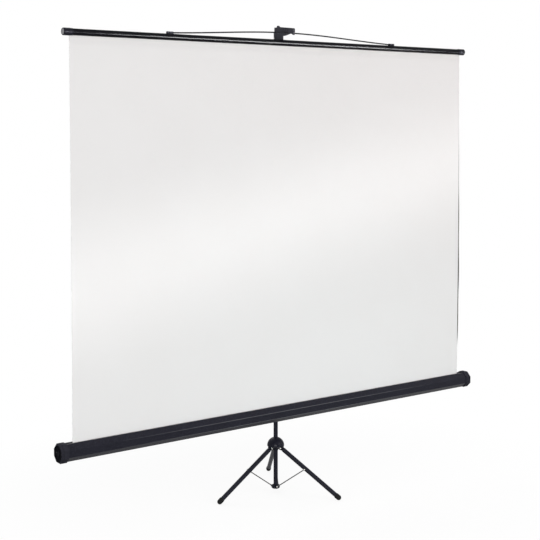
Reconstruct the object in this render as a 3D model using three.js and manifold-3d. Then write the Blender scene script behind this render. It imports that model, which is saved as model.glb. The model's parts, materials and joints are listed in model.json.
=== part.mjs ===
// Portable projection screen on a folding tripod, as it stands open.
// Millimetres, +Z up. The origin is on the floor under the mast axis, +X runs along the screen to the
// viewer's right and the white side of the sheet faces -Y.
import * as THREE from 'three';
import { mergeVertices } from 'three/addons/utils/BufferGeometryUtils.js';
import Module from 'manifold-3d';

const wasm = await Module();
wasm.setup();

// Clearances
const FIT = 0.3; // between two pieces fixed to each other
const SLIDE = 0.35; // between two pieces that slide or turn on each other
const THROUGH = 50; // how far a cutting tool runs past the piece that it cuts
const WELD = 1e-4; // vertices closer than this are one

// Sheet
const SHEET_WIDTH = 2000;
const SHEET_DROP = 1500; // cloth in view between the case and the batten
const SHEET_THICK = 0.4;
const SCREEN_SETOUT = 88; // sheet plane in front of the mast axis

// Case and its end caps, octagons measured across flats
const CASE_FLATS = 65;
const CASE_WALL = 1;
const CASE_AXIS_Z = 365;
const CASE_SLOT = 12;
const CASE_SLOT_LIP = 5;
const CASE_OVERHANG = 30.2; // case beyond each edge of the sheet
const CAP_FLATS = 70.5;
const CAP_LENGTH = 29.5;
const CAP_CHAMFER = 3;
const CAP_GROOVE_SETBACK = 8; // from the outer face
const CAP_GROOVE_WIDTH = 2;
const CAP_GROOVE_DEPTH = 1;
const CAP_RIM = 7;
const CAP_RECESS = 5;
const CAP_SPIGOT = 18;
const CAP_BOSS_DIAMETER = 20;
const CAP_BOSS_HEIGHT = 3.5;
const CAP_RIB_THICK = 2.4;
const CAP_RIB_HEIGHT = 2.6;
const CAP_RIB_COUNT = 4;

// Spring roller inside the case
const ROLLER_OD = 22;
const ROLLER_WALL = 1;
const ROLLER_OVERHANG = 8; // roller beyond each edge of the sheet
const ROLL_THICK = 0.8; // turns of cloth left on the roller
const SPINDLE_DIAMETER = 8;
const SPINDLE_REACH = 200; // into the roller
const IDLER_REACH = 18;
const AXLE_SEAT = 13; // depth of the axle's seat in an end cap
const BUSH_LENGTH = 20;
const BUSH_FLANGE = 2;
const SPRING_WIRE = 1.6;
const SPRING_PITCH = 10;
const SPRING_TURNS = 14;
const SPRING_SETBACK = 14; // from the bush

// Batten, hem rod and bail
const BATTEN_OD = 25.7;
const BATTEN_WALL = 1.2;
const BATTEN_SLOT = 3;
const BATTEN_OVERHANG = 4; // batten tube beyond each edge of the sheet
const BATTEN_CAP_DIAMETER = 28.6;
const BATTEN_CAP_LENGTH = 21.7;
const BATTEN_CAP_CHAMFER = 2;
const BATTEN_CAP_SPIGOT = 16;
const BATTEN_CAP_SLEEVE = 16; // over the outside of the tube
const BATTEN_CAP_STEP = 9; // where the sleeve steps down, from the tube's end
const BATTEN_CAP_THIN = 0.7; // wall of the sleeve beyond the step
const BATTEN_CAP_RIM = 2.2;
const BATTEN_CAP_RECESS = 4;
const HEM_ROD_DIAMETER = 5;
const HEM_ROD_SETBACK = 4; // from the cap spigot
const BAIL_WIRE = 4.4;
const BAIL_RISE = 25.2;
const BAIL_SPAN = 1120; // length of the arched part
const BAIL_CLEARANCE = 1.6; // between the wire's ends and the batten
const CLIP_LENGTH = 26;
const CLIP_WIDTH = 13;
const CLIP_HEIGHT = 8; // above the top of the batten
const CLIP_CROWN = 3; // radius of the clip's upper edges
const CLIP_BORE_CLEARANCE = 0.6; // round the wire, which the clip lets flex
const CLIP_SEAT = 20; // length of wire held in the clip

// Mast, extension and mast collar
const MAST_OD = 18.5;
const MAST_WALL = 1.2;
const MAST_BOTTOM_Z = 16;
const MAST_TOP_Z = 1205;
const EXTENSION_OD = 14.4;
const EXTENSION_WALL = 1;
const EXTENSION_BOTTOM_Z = 795;
const EXTENSION_INTO_HEAD = 56;
const PLUG_FLANGE = 4;
const PLUG_SPIGOT = 15;
const COLLAR_OD = 28;
const COLLAR_BELOW = 18; // collar below the mast's top end
const COLLAR_ABOVE = 20;
const COLLAR_EDGE = 2;

// Clamp knobs
const KNOB_DIAMETER = 30;
const KNOB_THICK = 12;
const KNOB_LOBES = 5;
const KNOB_LOBE_DEPTH = 1.9;
const KNOB_EDGE = 1.4;
const KNOB_STEM = 6;
const KNOB_BOSS_DIAMETER = 16;
const KNOB_BOSS_REACH = 20; // boss face behind the mast axis

// Carriage and case bracket
const CARRIAGE_BOTTOM_Z = 362;
const CARRIAGE_HEIGHT = 54;
const CARRIAGE_OD = 28;
const CARRIAGE_EDGE = 2.5;
const CARRIAGE_KNOB_DROP = 18; // knob axis below the carriage's top
const PIVOT_Z = 378;
const PIVOT_BOSS_DIAMETER = 26;
const PIVOT_BOLT_DIAMETER = 8;
const PIVOT_HEAD_DIAMETER = 14;
const PIVOT_HEAD_THICK = 2.6;
const PIVOT_BOLT_SETBACK = 20; // bolt end in front of the mast axis
const WASHER_DIAMETER = 24;
const WASHER_THICK = 2;
const BRACKET_LENGTH = 96;
const BRACKET_PLATE = 3;
const BRACKET_BOSS_HEIGHT = 3.4;
const BRACKET_UPPER_LIP = 12; // along Y and Z, up the case's rear upper facet
const BRACKET_LOWER_LIP = 7;

// Mast head: distances forward of the mast axis, heights above the seated bail wire
const HEAD_PLATE = 8.4;
const HEAD_SOCKET_DIAMETER = 18;
const HEAD_BACK = 5; // behind the mast axis
const HEAD_BLOCK_FRONT = 48;
const HEAD_DEPTH = 60; // block below the wire
const HEAD_REAR_BUMP = 3.5; // radius of the rear horn's tip
const HEAD_REAR_HORN_RISE = 28.6;
const HEAD_GAP = 6; // bottom of the gap between the horns
const HEAD_GAP_RISE = 24.4;
const HEAD_FRONT_BUMP = 5;
const HEAD_FRONT_HORN = 18;
const HEAD_FRONT_HORN_RISE = 34.8;
const HEAD_ARM_START = 30; // the arm's top slopes from here to the nose
const HEAD_ARM_RISE = 28.5; // at its start
const HEAD_ARM_FALL = 10.5;
const HEAD_NOSE = 128;
const HEAD_NOSE_RADIUS = 7;
const HEAD_NOSE_RISE = 1; // lower end of the nose's front face
const HEAD_LIP_FRONT = 125.5;
const HEAD_LIP_RADIUS = 2.2;
const HEAD_LIP_DROP = 8.4; // lip's centre below the wire
const HEAD_ARCH_DROP = 10; // arch's rear end below the wire
const HEAD_ARCH_LEAN = 3; // control point over the lip, behind its inner edge
const HEAD_ARCH_RISE = 7; // that point above the wire
const HEAD_ARCH_RUN = 36; // level run of the arch at its rear
const HEAD_RIB = 4; // raised rib that follows the arch, at its ends
const HEAD_RIB_CROWN = 12; // at its middle
const HEAD_RIB_PROUD = 1;
const HEAD_SLOT_PITCH = 15;
const HEAD_SLOTS = 3;

// Leg hub
const HUB_RADIUS = 37;
const HUB_DOME_Z = 199; // centre of the dome's sphere
const HUB_BOTTOM_Z = 195.2;
const HUB_BOTTOM_RADIUS = 31;
const HUB_SLEEVE_OD = 28;
const HUB_SLEEVE_BOTTOM_Z = 184;
const HUB_EAR_THICK = 5;
const HUB_EAR_RADIUS = 8;
const HUB_PIN_DIAMETER = 5;
const HUB_PIN_HEAD_DIAMETER = 7.4;
const HUB_PIN_HEAD = 1.8;
const STOP_RING_OD = 23;
const STOP_RING_HEIGHT = 4;

// Legs
const LEG_AZIMUTHS = [180, -60, 60];
const LEG_PIVOT_RADIUS = 26;
const LEG_PIVOT_Z = 191;
const LEG_TUBE_OD = 18.5;
const LEG_TUBE_WALL = 1.2;
const LEG_TUBE_START = 14; // from the pivot
const LEG_TONGUE_THICK = 8;
const LEG_TONGUE_CLEARANCE = 0.4; // on each side, in the clevis
const LEG_EYE_RADIUS = 7;
const LEG_FLANGE = 2.2;
const LEG_SPIGOT = 22;
const FOOT_REACH = 288; // foot centre from the mast axis
const FOOT_RADIUS = 11;
const FOOT_CENTRE_Z = 10;
const FOOT_SLEEVE = 15; // cap along the tube, from the foot centre
const FOOT_TAPER = 4;
const FOOT_MOUTH_WALL = 1;
const FOOT_SEAT = 4; // tube end short of the foot centre

// Base collar and braces
const BASE_BOTTOM_Z = 14;
const BASE_TOP_Z = 28.5;
const BASE_RADIUS = 18.2;
const BASE_EDGE = 3.5;
const BASE_SHOULDER = 3;
const BASE_FLAT_DEPTH = 10.5; // height of the flat that each brace pivots on
const BASE_FLAT_START = 7.5;
const BASE_PLUG_FLANGE = 2.7;
const BRACE_ROD = 4.4;
const BRACE_EYE_RADIUS = 4;
const BRACE_PIVOT_RADIUS = 12.5;
const BRACE_PIVOT_Z = 24;
const BRACE_ON_LEG = 136; // from the leg's pivot
const BRACE_PIN_DIAMETER = 3.2;
const BRACE_PIN_HEAD_DIAMETER = 6;
const BRACE_PIN_HEAD = 1.6;
const BRACE_PIN_SEAT = 4.5; // pin in the base collar

// Facets
const ROUND = 24;
const SMALL_ROUND = 12;
const ARC_STEPS = 8; // in each arc of an extruded shape
const ARCH_STEPS = 10;
const BATTEN_ARC_STEPS = 20;
const DOME_STEPS = 8;
const NOSE_STEPS = 5;
const LOBE_STEPS = 6;
const SPRING_SIDES = 5;
const SPRING_STEPS = 8; // in each turn
const SPRING_SAMPLES = 40; // in each turn, to measure the helix along its length
const BAIL_SIDES = 8;
const BAIL_STEPS = 40;

// Finishes
const BLACK_PAINT = { color: 0x2a2a30, roughness: 0.45, metalness: 0.3 };
const BLACK_MOULDING = { color: 0x2c2c32, roughness: 0.5, metalness: 0 };
const BLACK_RUBBER = { color: 0x1d1d20, roughness: 0.8, metalness: 0 };
const PLATED_STEEL = { color: 0x9b9a96, roughness: 0.35, metalness: 0.9 };
const SPRING_STEEL = { color: 0x4a4542, roughness: 0.4, metalness: 0.8 };
const WHITE_CLOTH = { color: 0xe9e7e6, roughness: 0.95, metalness: 0 };
const WHITE_NYLON = { color: 0xd9d8d2, roughness: 0.6, metalness: 0 };

// Places worked out from the sizes above
const caseTopZ = CASE_AXIS_Z + CASE_FLATS / 2;
const battenZ = caseTopZ + SHEET_DROP + BATTEN_OD / 2;
const wireEndRise = BATTEN_OD / 2 + BAIL_CLEARANCE + BAIL_WIRE / 2; // above the batten's axis
const wirePeakZ = battenZ + wireEndRise + BAIL_RISE;
const shellHalf = SHEET_WIDTH / 2 + CASE_OVERHANG;
const rollerHalf = SHEET_WIDTH / 2 + ROLLER_OVERHANG;
const rollRadius = ROLLER_OD / 2 + FIT + ROLL_THICK;
const rollerSetback = SHEET_THICK / 2 + FIT + rollRadius; // roller axis behind the sheet plane
const battenHalf = SHEET_WIDTH / 2 + BATTEN_OVERHANG;
const clipCentre = BAIL_SPAN / 2 + CLIP_LENGTH / 2;
const grooveHalf = BATTEN_SLOT / 2;
const grooveEdge = Math.sqrt((BATTEN_OD / 2 - BATTEN_WALL) ** 2 - grooveHalf ** 2); // below the batten's axis
const hemRodDrop = grooveEdge - Math.sqrt((HEM_ROD_DIAMETER / 2 + FIT) ** 2 - grooveHalf ** 2);
const caseBack = SCREEN_SETOUT - CASE_FLATS / 2; // these four in front of the mast axis
const bracketInner = caseBack - FIT;
const bracketFace = bracketInner - BRACKET_PLATE - BRACKET_BOSS_HEIGHT;
const carriageFace = bracketFace - WASHER_THICK - 2 * FIT;
const mastBore = MAST_OD / 2 + FIT;
const mastSlide = MAST_OD / 2 + SLIDE;
const extensionSlide = EXTENSION_OD / 2 + SLIDE;
const legRun = FOOT_REACH - LEG_PIVOT_RADIUS;
const legFall = LEG_PIVOT_Z - FOOT_CENTRE_Z;
const legLength = Math.hypot(legRun, legFall);
const legTilt = Math.atan2(legRun, legFall); // from the vertical
const tongueSlot = LEG_TONGUE_THICK / 2 + LEG_TONGUE_CLEARANCE; // half width
const earOuter = tongueSlot + HUB_EAR_THICK;
const braceInner = LEG_TUBE_OD / 2 + SLIDE; // tangential distance of the brace's near side
const braceOffset = braceInner + BRACE_ROD / 2;
const baseFlat = braceInner - FIT;
const braceEnd = {
  radius: LEG_PIVOT_RADIUS + BRACE_ON_LEG * Math.sin(legTilt),
  z: LEG_PIVOT_Z - BRACE_ON_LEG * Math.cos(legTilt),
};
const braceRun = braceEnd.radius - BRACE_PIVOT_RADIUS;
const braceClimb = braceEnd.z - BRACE_PIVOT_Z;
const braceLength = Math.hypot(braceRun, braceClimb);
const braceTilt = Math.atan2(braceRun, braceClimb);

// Solid helpers

/** Weld a closed geometry, drop its collapsed triangles and turn its faces outwards. */
function closed(geometry) {
  const bare = new THREE.BufferGeometry();
  bare.setAttribute('position', geometry.getAttribute('position').clone());
  bare.setIndex(geometry.index ? geometry.index.clone() : null);
  const welded = mergeVertices(bare, WELD);
  const position = welded.getAttribute('position');
  const corner = [new THREE.Vector3(), new THREE.Vector3(), new THREE.Vector3()];
  const kept = [];
  let volume = 0;
  for (let i = 0; i < welded.index.count; i += 3) {
    const [a, b, c] = [0, 1, 2].map((k) => welded.index.getX(i + k));
    if (a === b || b === c || c === a) continue;
    kept.push(a, b, c);
    [a, b, c].forEach((v, k) => corner[k].fromBufferAttribute(position, v));
    volume += corner[0].dot(corner[1].clone().cross(corner[2]));
  }
  if (volume < 0) {
    for (let i = 0; i < kept.length; i += 3) [kept[i], kept[i + 1]] = [kept[i + 1], kept[i]];
  }
  welded.setIndex(kept);
  return welded;
}

/** Closed geometry as a solid that can be joined and cut. */
function solid(geometry) {
  const mesh = closed(geometry);
  return new wasm.Manifold(new wasm.Mesh({
    numProp: 3,
    vertProperties: new Float32Array(mesh.getAttribute('position').array),
    triVerts: new Uint32Array(mesh.index.array),
  }));
}

/** Join the first list of geometries and cut the second list out of them. */
function carve(joined, cuts = []) {
  let body = joined.map(solid).reduce((whole, next) => whole.add(next));
  for (const cut of cuts) body = body.subtract(solid(cut));
  const mesh = body.getMesh();
  const geometry = new THREE.BufferGeometry();
  geometry.setAttribute('position', new THREE.BufferAttribute(new Float32Array(mesh.vertProperties), 3));
  geometry.setIndex(new THREE.BufferAttribute(new Uint32Array(mesh.triVerts), 1));
  return geometry;
}

/** Turn a profile of [radius, z] points round the Z axis. */
function revolve(profile, segments = ROUND, start = 0) {
  const points = profile.map(([radius, z]) => new THREE.Vector2(radius, z));
  return new THREE.LatheGeometry(points, segments, start).rotateX(Math.PI / 2);
}

/** Solid round bar along Z. */
function rod(radius, z0, z1, segments = SMALL_ROUND) {
  return revolve([[0, z0], [radius, z0], [radius, z1], [0, z1]], segments);
}

/** Tube along Z. */
function tube(outer, inner, z0, z1, segments = ROUND) {
  return revolve([[inner, z0], [outer, z0], [outer, z1], [inner, z1], [inner, z0]], segments);
}

/** Octagonal piece along Z from a profile of [half width across flats, z] points, flats to X and Y. */
function octagonal(profile) {
  const corner = 1 / Math.cos(Math.PI / 8);
  return revolve(profile.map(([flat, z]) => [flat * corner, z]), 8, Math.PI / 8);
}

/** Lay a piece made along Z along X, pointing to side +1 or -1. */
function layAlongX(geometry, side = 1) {
  return geometry.rotateY(side * Math.PI / 2);
}

/** Lay a piece made along Z along Y, pointing to side +1 or -1. */
function layAlongY(geometry, side = 1) {
  return geometry.rotateX(-side * Math.PI / 2);
}

/** Box between two corners. */
function block([x0, y0, z0], [x1, y1, z1]) {
  return new THREE.BoxGeometry(x1 - x0, y1 - y0, z1 - z0)
    .translate((x0 + x1) / 2, (y0 + y1) / 2, (z0 + z1) / 2);
}

/** Extrude a shape drawn in Y and Z along X. */
function extrudeAlongX(shape, x0, x1, curveSegments = ARC_STEPS) {
  const geometry = new THREE.ExtrudeGeometry(shape, { depth: x1 - x0, bevelEnabled: false, curveSegments });
  const basis = new THREE.Matrix4().makeBasis(
    new THREE.Vector3(0, 1, 0), new THREE.Vector3(0, 0, 1), new THREE.Vector3(1, 0, 0),
  );
  return geometry.applyMatrix4(basis).translate(x0, 0, 0);
}

/** Extrude a shape drawn in X and Z along Y. */
function extrudeAlongY(shape, y0, y1, curveSegments = ARC_STEPS) {
  return new THREE.ExtrudeGeometry(shape, { depth: y1 - y0, bevelEnabled: false, curveSegments })
    .rotateX(Math.PI / 2).translate(0, y1, 0);
}

/** Shape through [u, v] points. */
function outline(points) {
  return new THREE.Shape(points.map(([u, v]) => new THREE.Vector2(u, v)));
}

/** Round bar along a curve. */
function tubeAlong(curve, radius, sides, steps) {
  const ring = Array.from({ length: sides }, (_, k) => {
    const angle = 2 * Math.PI * k / sides;
    return [radius * Math.cos(angle), radius * Math.sin(angle)];
  });
  return new THREE.ExtrudeGeometry(outline(ring), { steps, extrudePath: curve });
}

/** Named mesh with a material of its own. */
function piece(name, geometry, finish) {
  const mesh = new THREE.Mesh(closed(geometry), new THREE.MeshStandardMaterial(finish));
  mesh.name = name;
  return mesh;
}

/** Group at a place, holding the given objects. */
function at(x, y, z, ...children) {
  const group = new THREE.Group();
  group.position.set(x, y, z);
  group.add(...children);
  return group;
}

// Mast

/** Plug that closes a tube from below: a flange under the tube's end and a spigot inside it. */
function endPlug(tubeOuter, tubeWall, flangeRadius, flange, endZ) {
  const spigot = tubeOuter / 2 - tubeWall - FIT;
  const shoulder = endZ - FIT;
  return revolve([
    [0, shoulder - flange], [flangeRadius, shoulder - flange], [flangeRadius, shoulder],
    [spigot, shoulder], [spigot, endZ + PLUG_SPIGOT], [0, endZ + PLUG_SPIGOT],
  ]);
}

/** Boss behind the mast axis that a clamp knob screws into. */
function knobBoss(z) {
  return layAlongY(rod(KNOB_BOSS_DIAMETER / 2, MAST_OD / 2 + SLIDE, KNOB_BOSS_REACH), 1).translate(0, 0, z);
}

/** Screw hole through a knob boss. */
function knobBore(z) {
  return layAlongY(rod(KNOB_STEM / 2 + FIT, 0, KNOB_BOSS_REACH + THROUGH), 1).translate(0, 0, z);
}

/** Lobed clamp knob whose stem stops short of the tube that it clamps. */
function clampKnob(name, z, clampedRadius) {
  const corners = KNOB_LOBES * LOBE_STEPS;
  const lobes = Array.from({ length: corners }, (_, k) => {
    const angle = 2 * Math.PI * k / corners;
    const radius = KNOB_DIAMETER / 2 - KNOB_EDGE - KNOB_LOBE_DEPTH * (1 - Math.cos(KNOB_LOBES * angle)) / 2;
    return [radius * Math.cos(angle), radius * Math.sin(angle)];
  });
  const grip = new THREE.ExtrudeGeometry(outline(lobes), {
    depth: KNOB_THICK - 2 * KNOB_EDGE,
    bevelSize: KNOB_EDGE,
    bevelThickness: KNOB_EDGE,
    bevelSegments: 1,
  });
  const face = KNOB_BOSS_REACH + FIT;
  const shape = carve([
    layAlongY(grip.translate(0, 0, face + KNOB_EDGE)),
    layAlongY(rod(KNOB_STEM / 2, clampedRadius + FIT, face + KNOB_THICK / 2)),
  ]);
  return at(0, 0, z, piece(name, shape, BLACK_MOULDING));
}

/** Collar that closes the mast's top round the extension. */
function mastCollar() {
  const bottom = -COLLAR_BELOW;
  const outer = COLLAR_OD / 2;
  const seat = FIT;
  const body = revolve([
    [mastBore, bottom], [outer - COLLAR_EDGE, bottom], [outer, bottom + COLLAR_EDGE],
    [outer, COLLAR_ABOVE - COLLAR_EDGE], [outer - COLLAR_EDGE, COLLAR_ABOVE], [extensionSlide, COLLAR_ABOVE],
    [extensionSlide, seat], [mastBore, seat], [mastBore, bottom],
  ]);
  const knobZ = COLLAR_ABOVE / 2;
  const bore = rod(extensionSlide, bottom, COLLAR_ABOVE, ROUND);
  const boss = carve([knobBoss(knobZ)], [bore]);
  return piece('mast_collar', carve([body, boss], [knobBore(knobZ)]), BLACK_MOULDING);
}

/** Base collar: a disc on the mast's foot with a flat beside each leg, where a brace pivots. */
function baseCollar() {
  const disc = revolve([
    [mastBore, BASE_BOTTOM_Z], [BASE_RADIUS - BASE_EDGE, BASE_BOTTOM_Z],
    [BASE_RADIUS, BASE_BOTTOM_Z + BASE_EDGE], [BASE_RADIUS, BASE_TOP_Z - BASE_SHOULDER],
    [BASE_RADIUS - BASE_SHOULDER, BASE_TOP_Z], [mastBore, BASE_TOP_Z], [mastBore, BASE_BOTTOM_Z],
  ]);
  const flatBottom = BASE_TOP_Z - BASE_FLAT_DEPTH;
  const cuts = LEG_AZIMUTHS.flatMap((azimuth) => [
    block([BASE_FLAT_START, -THROUGH, flatBottom], [THROUGH, -baseFlat, BASE_TOP_Z + THROUGH]),
    layAlongY(rod(BRACE_PIN_DIAMETER / 2 + FIT, -THROUGH, FIT + BRACE_PIN_SEAT - baseFlat))
      .translate(BRACE_PIVOT_RADIUS, 0, BRACE_PIVOT_Z),
  ].map((tool) => tool.rotateZ(THREE.MathUtils.degToRad(azimuth))));
  return piece('base_collar', carve([disc], cuts), BLACK_MOULDING);
}

function mast() {
  const collarKnobZ = MAST_TOP_Z + COLLAR_ABOVE / 2;
  const stopTop = HUB_SLEEVE_BOTTOM_Z - FIT;
  const outer = MAST_OD / 2;
  const plug = endPlug(MAST_OD, MAST_WALL, outer, BASE_PLUG_FLANGE, MAST_BOTTOM_Z);
  const stop = tube(STOP_RING_OD / 2, mastBore, stopTop - STOP_RING_HEIGHT, stopTop);
  return at(0, 0, 0,
    piece('mast_tube', tube(outer, outer - MAST_WALL, MAST_BOTTOM_Z, MAST_TOP_Z), BLACK_PAINT),
    piece('base_plug', plug, BLACK_MOULDING),
    piece('hub_stop_ring', stop, BLACK_MOULDING),
    baseCollar(),
    at(0, 0, MAST_TOP_Z, mastCollar()),
    clampKnob('extension_knob', collarKnobZ, EXTENSION_OD / 2),
  );
}

// Extension and mast head

/** Side outline of the mast head, in Y and Z about the seated bail wire's height. */
function headOutline() {
  const shape = new THREE.Shape();
  const forward = (distance) => -distance;
  const rearTip = HEAD_REAR_BUMP - HEAD_BACK;
  const rearTop = HEAD_REAR_HORN_RISE - HEAD_REAR_BUMP;
  const frontTop = HEAD_FRONT_HORN_RISE - HEAD_FRONT_BUMP;
  const noseTop = HEAD_ARM_RISE - HEAD_ARM_FALL;
  const lipCentre = HEAD_LIP_FRONT - HEAD_LIP_RADIUS;
  shape.moveTo(forward(-HEAD_BACK), -HEAD_DEPTH);
  shape.lineTo(forward(-HEAD_BACK), rearTop);
  shape.absarc(forward(rearTip), rearTop, HEAD_REAR_BUMP, 0, Math.PI, false);
  shape.lineTo(forward(HEAD_GAP), HEAD_GAP_RISE);
  shape.absarc(forward(HEAD_FRONT_HORN), frontTop, HEAD_FRONT_BUMP, 0, Math.PI, false);
  shape.lineTo(forward(HEAD_ARM_START), HEAD_ARM_RISE);
  shape.lineTo(forward(HEAD_NOSE - HEAD_NOSE_RADIUS), noseTop);
  shape.absarc(
    forward(HEAD_NOSE - HEAD_NOSE_RADIUS), noseTop - HEAD_NOSE_RADIUS, HEAD_NOSE_RADIUS,
    Math.PI / 2, Math.PI, false,
  );
  shape.lineTo(forward(HEAD_NOSE), HEAD_NOSE_RISE);
  shape.quadraticCurveTo(
    forward(HEAD_LIP_FRONT), HEAD_NOSE_RISE - HEAD_LIP_RADIUS, forward(HEAD_LIP_FRONT), -HEAD_LIP_DROP,
  );
  shape.absarc(forward(lipCentre), -HEAD_LIP_DROP, HEAD_LIP_RADIUS, Math.PI, 2 * Math.PI, false);
  const [start, rise, fall, end] = archPoints(0, 0);
  shape.lineTo(...start);
  shape.bezierCurveTo(...rise, ...fall, ...end);
  shape.lineTo(forward(HEAD_BLOCK_FRONT), -HEAD_DEPTH);
  return shape;
}

/** Control points of the arch under the arm, in Y and Z, widened at its ends and raised at its middle. */
function archPoints(widened, raised) {
  const front = -(HEAD_LIP_FRONT - 2 * HEAD_LIP_RADIUS) - widened;
  const rear = -HEAD_BLOCK_FRONT + widened;
  return [
    [front, -HEAD_LIP_DROP],
    [front + HEAD_ARCH_LEAN, HEAD_ARCH_RISE + raised],
    [rear - HEAD_ARCH_RUN, -HEAD_ARCH_DROP + raised],
    [rear, -HEAD_ARCH_DROP],
  ];
}

/** Raised rib along the arch, on both faces of the arm. */
function headRib() {
  const shape = new THREE.Shape();
  const inner = archPoints(0, 0);
  const outer = archPoints(HEAD_RIB, HEAD_RIB_CROWN);
  shape.moveTo(...inner[0]);
  shape.bezierCurveTo(...inner[1], ...inner[2], ...inner[3]);
  shape.lineTo(...outer[3]);
  shape.bezierCurveTo(...outer[2], ...outer[1], ...outer[0]);
  const half = HEAD_PLATE / 2 + HEAD_RIB_PROUD;
  return extrudeAlongX(shape, -half, half, ARCH_STEPS);
}

/** Notch in the arm's top that the bail wire drops into. */
function wireNotch(y) {
  const shape = new THREE.Shape();
  const half = BAIL_WIRE / 2 + FIT;
  shape.moveTo(y - half, THROUGH);
  shape.lineTo(y - half, 0);
  shape.absarc(y, 0, half, Math.PI, 2 * Math.PI, false);
  shape.lineTo(y + half, THROUGH);
  return extrudeAlongX(shape, -THROUGH, THROUGH);
}

function mastHead() {
  const plate = extrudeAlongX(headOutline(), -HEAD_PLATE / 2, HEAD_PLATE / 2, ARCH_STEPS);
  const radius = HEAD_SOCKET_DIAMETER / 2;
  const top = HEAD_GAP_RISE;
  const socket = revolve([
    [0, -HEAD_DEPTH], [radius, -HEAD_DEPTH], [radius, top - 2 * radius],
    [HEAD_PLATE / 2, top - radius], [0, top - radius],
  ]);
  const boreTop = FIT + EXTENSION_INTO_HEAD - HEAD_DEPTH;
  const bore = rod(EXTENSION_OD / 2 + FIT, -HEAD_DEPTH - THROUGH, boreTop, ROUND);
  const notches = Array.from({ length: HEAD_SLOTS }, (_, k) => (
    wireNotch(-SCREEN_SETOUT + k * HEAD_SLOT_PITCH)
  ));
  return piece('mast_head', carve([plate, headRib(), socket], [bore, ...notches]), BLACK_MOULDING);
}

function extension() {
  const top = wirePeakZ - HEAD_DEPTH + EXTENSION_INTO_HEAD;
  const bore = EXTENSION_OD / 2 - EXTENSION_WALL;
  const guide = MAST_OD / 2 - MAST_WALL - SLIDE;
  const plug = endPlug(EXTENSION_OD, EXTENSION_WALL, guide, PLUG_FLANGE, EXTENSION_BOTTOM_Z);
  return at(0, 0, 0,
    piece('extension_tube', tube(EXTENSION_OD / 2, bore, EXTENSION_BOTTOM_Z, top), BLACK_PAINT),
    piece('extension_plug', plug, BLACK_MOULDING),
    at(0, 0, wirePeakZ, mastHead()),
  );
}

// Tripod

/** Clevis ears, tongue slot and pin hole of one leg, in the leg's own plane. */
function clevis(azimuth) {
  const ear = new THREE.Shape();
  const left = LEG_PIVOT_RADIUS - HUB_EAR_RADIUS;
  const right = LEG_PIVOT_RADIUS + HUB_EAR_RADIUS;
  ear.moveTo(left, HUB_DOME_Z);
  ear.lineTo(left, LEG_PIVOT_Z);
  ear.absarc(LEG_PIVOT_RADIUS, LEG_PIVOT_Z, HUB_EAR_RADIUS, Math.PI, 2 * Math.PI, false);
  ear.lineTo(right, HUB_DOME_Z);
  const slotTop = LEG_PIVOT_Z + LEG_EYE_RADIUS + 2 * SLIDE;
  const slotStart = LEG_PIVOT_RADIUS - LEG_EYE_RADIUS - 2 * SLIDE;
  const turn = THREE.MathUtils.degToRad(azimuth);
  return {
    ears: extrudeAlongY(ear, -earOuter, earOuter).rotateZ(turn),
    cuts: [
      block([slotStart, -tongueSlot, slotTop - THROUGH], [slotStart + THROUGH, tongueSlot, slotTop]),
      layAlongY(rod(HUB_PIN_DIAMETER / 2 + FIT, -earOuter - FIT, earOuter + FIT))
        .translate(LEG_PIVOT_RADIUS, 0, LEG_PIVOT_Z),
    ].map((tool) => tool.rotateZ(turn)),
  };
}

/** Domed hub that slides on the mast. */
function legHub() {
  const sleeve = HUB_SLEEVE_OD / 2;
  const topAngle = Math.acos(mastSlide / HUB_RADIUS);
  const dome = Array.from({ length: DOME_STEPS + 1 }, (_, k) => {
    const angle = topAngle * k / DOME_STEPS;
    return [HUB_RADIUS * Math.cos(angle), HUB_DOME_Z + HUB_RADIUS * Math.sin(angle)];
  });
  dome[DOME_STEPS][0] = mastSlide;
  const body = revolve([
    [mastSlide, HUB_SLEEVE_BOTTOM_Z], [sleeve, HUB_SLEEVE_BOTTOM_Z], [sleeve, HUB_BOTTOM_Z],
    [HUB_BOTTOM_RADIUS, HUB_BOTTOM_Z], ...dome, [mastSlide, HUB_SLEEVE_BOTTOM_Z],
  ]);
  const clevises = LEG_AZIMUTHS.map(clevis);
  const bore = rod(mastSlide, HUB_SLEEVE_BOTTOM_Z - THROUGH, HUB_DOME_Z + THROUGH, ROUND);
  const ears = clevises.map(({ ears: pair }) => carve([pair], [bore]));
  return piece('leg_hub', carve([body, ...ears], clevises.flatMap(({ cuts }) => cuts)), BLACK_MOULDING);
}

/** Rivet along Y with a head at both ends. */
function hubPin(name) {
  const shank = HUB_PIN_DIAMETER / 2;
  const head = HUB_PIN_HEAD_DIAMETER / 2;
  const seat = earOuter + FIT;
  const end = seat + HUB_PIN_HEAD;
  const profile = [
    [0, -end], [head, -end + HUB_PIN_HEAD / 2], [head, -seat], [shank, -seat],
    [shank, seat], [head, seat], [head, end - HUB_PIN_HEAD / 2], [0, end],
  ];
  return piece(name, layAlongY(revolve(profile, SMALL_ROUND)), PLATED_STEEL);
}

/** Pin along -Y with one head, from its seat at y0 out past the brace. */
function bracePin(name, y0) {
  const shank = BRACE_PIN_DIAMETER / 2;
  const head = BRACE_PIN_HEAD_DIAMETER / 2;
  const seat = braceInner + BRACE_ROD + FIT;
  const end = seat + BRACE_PIN_HEAD;
  const profile = [
    [0, -y0], [shank, -y0], [shank, seat], [head, seat], [head, end - BRACE_PIN_HEAD / 2], [0, end],
  ];
  return piece(name, layAlongY(revolve(profile, SMALL_ROUND), -1), PLATED_STEEL);
}

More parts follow.
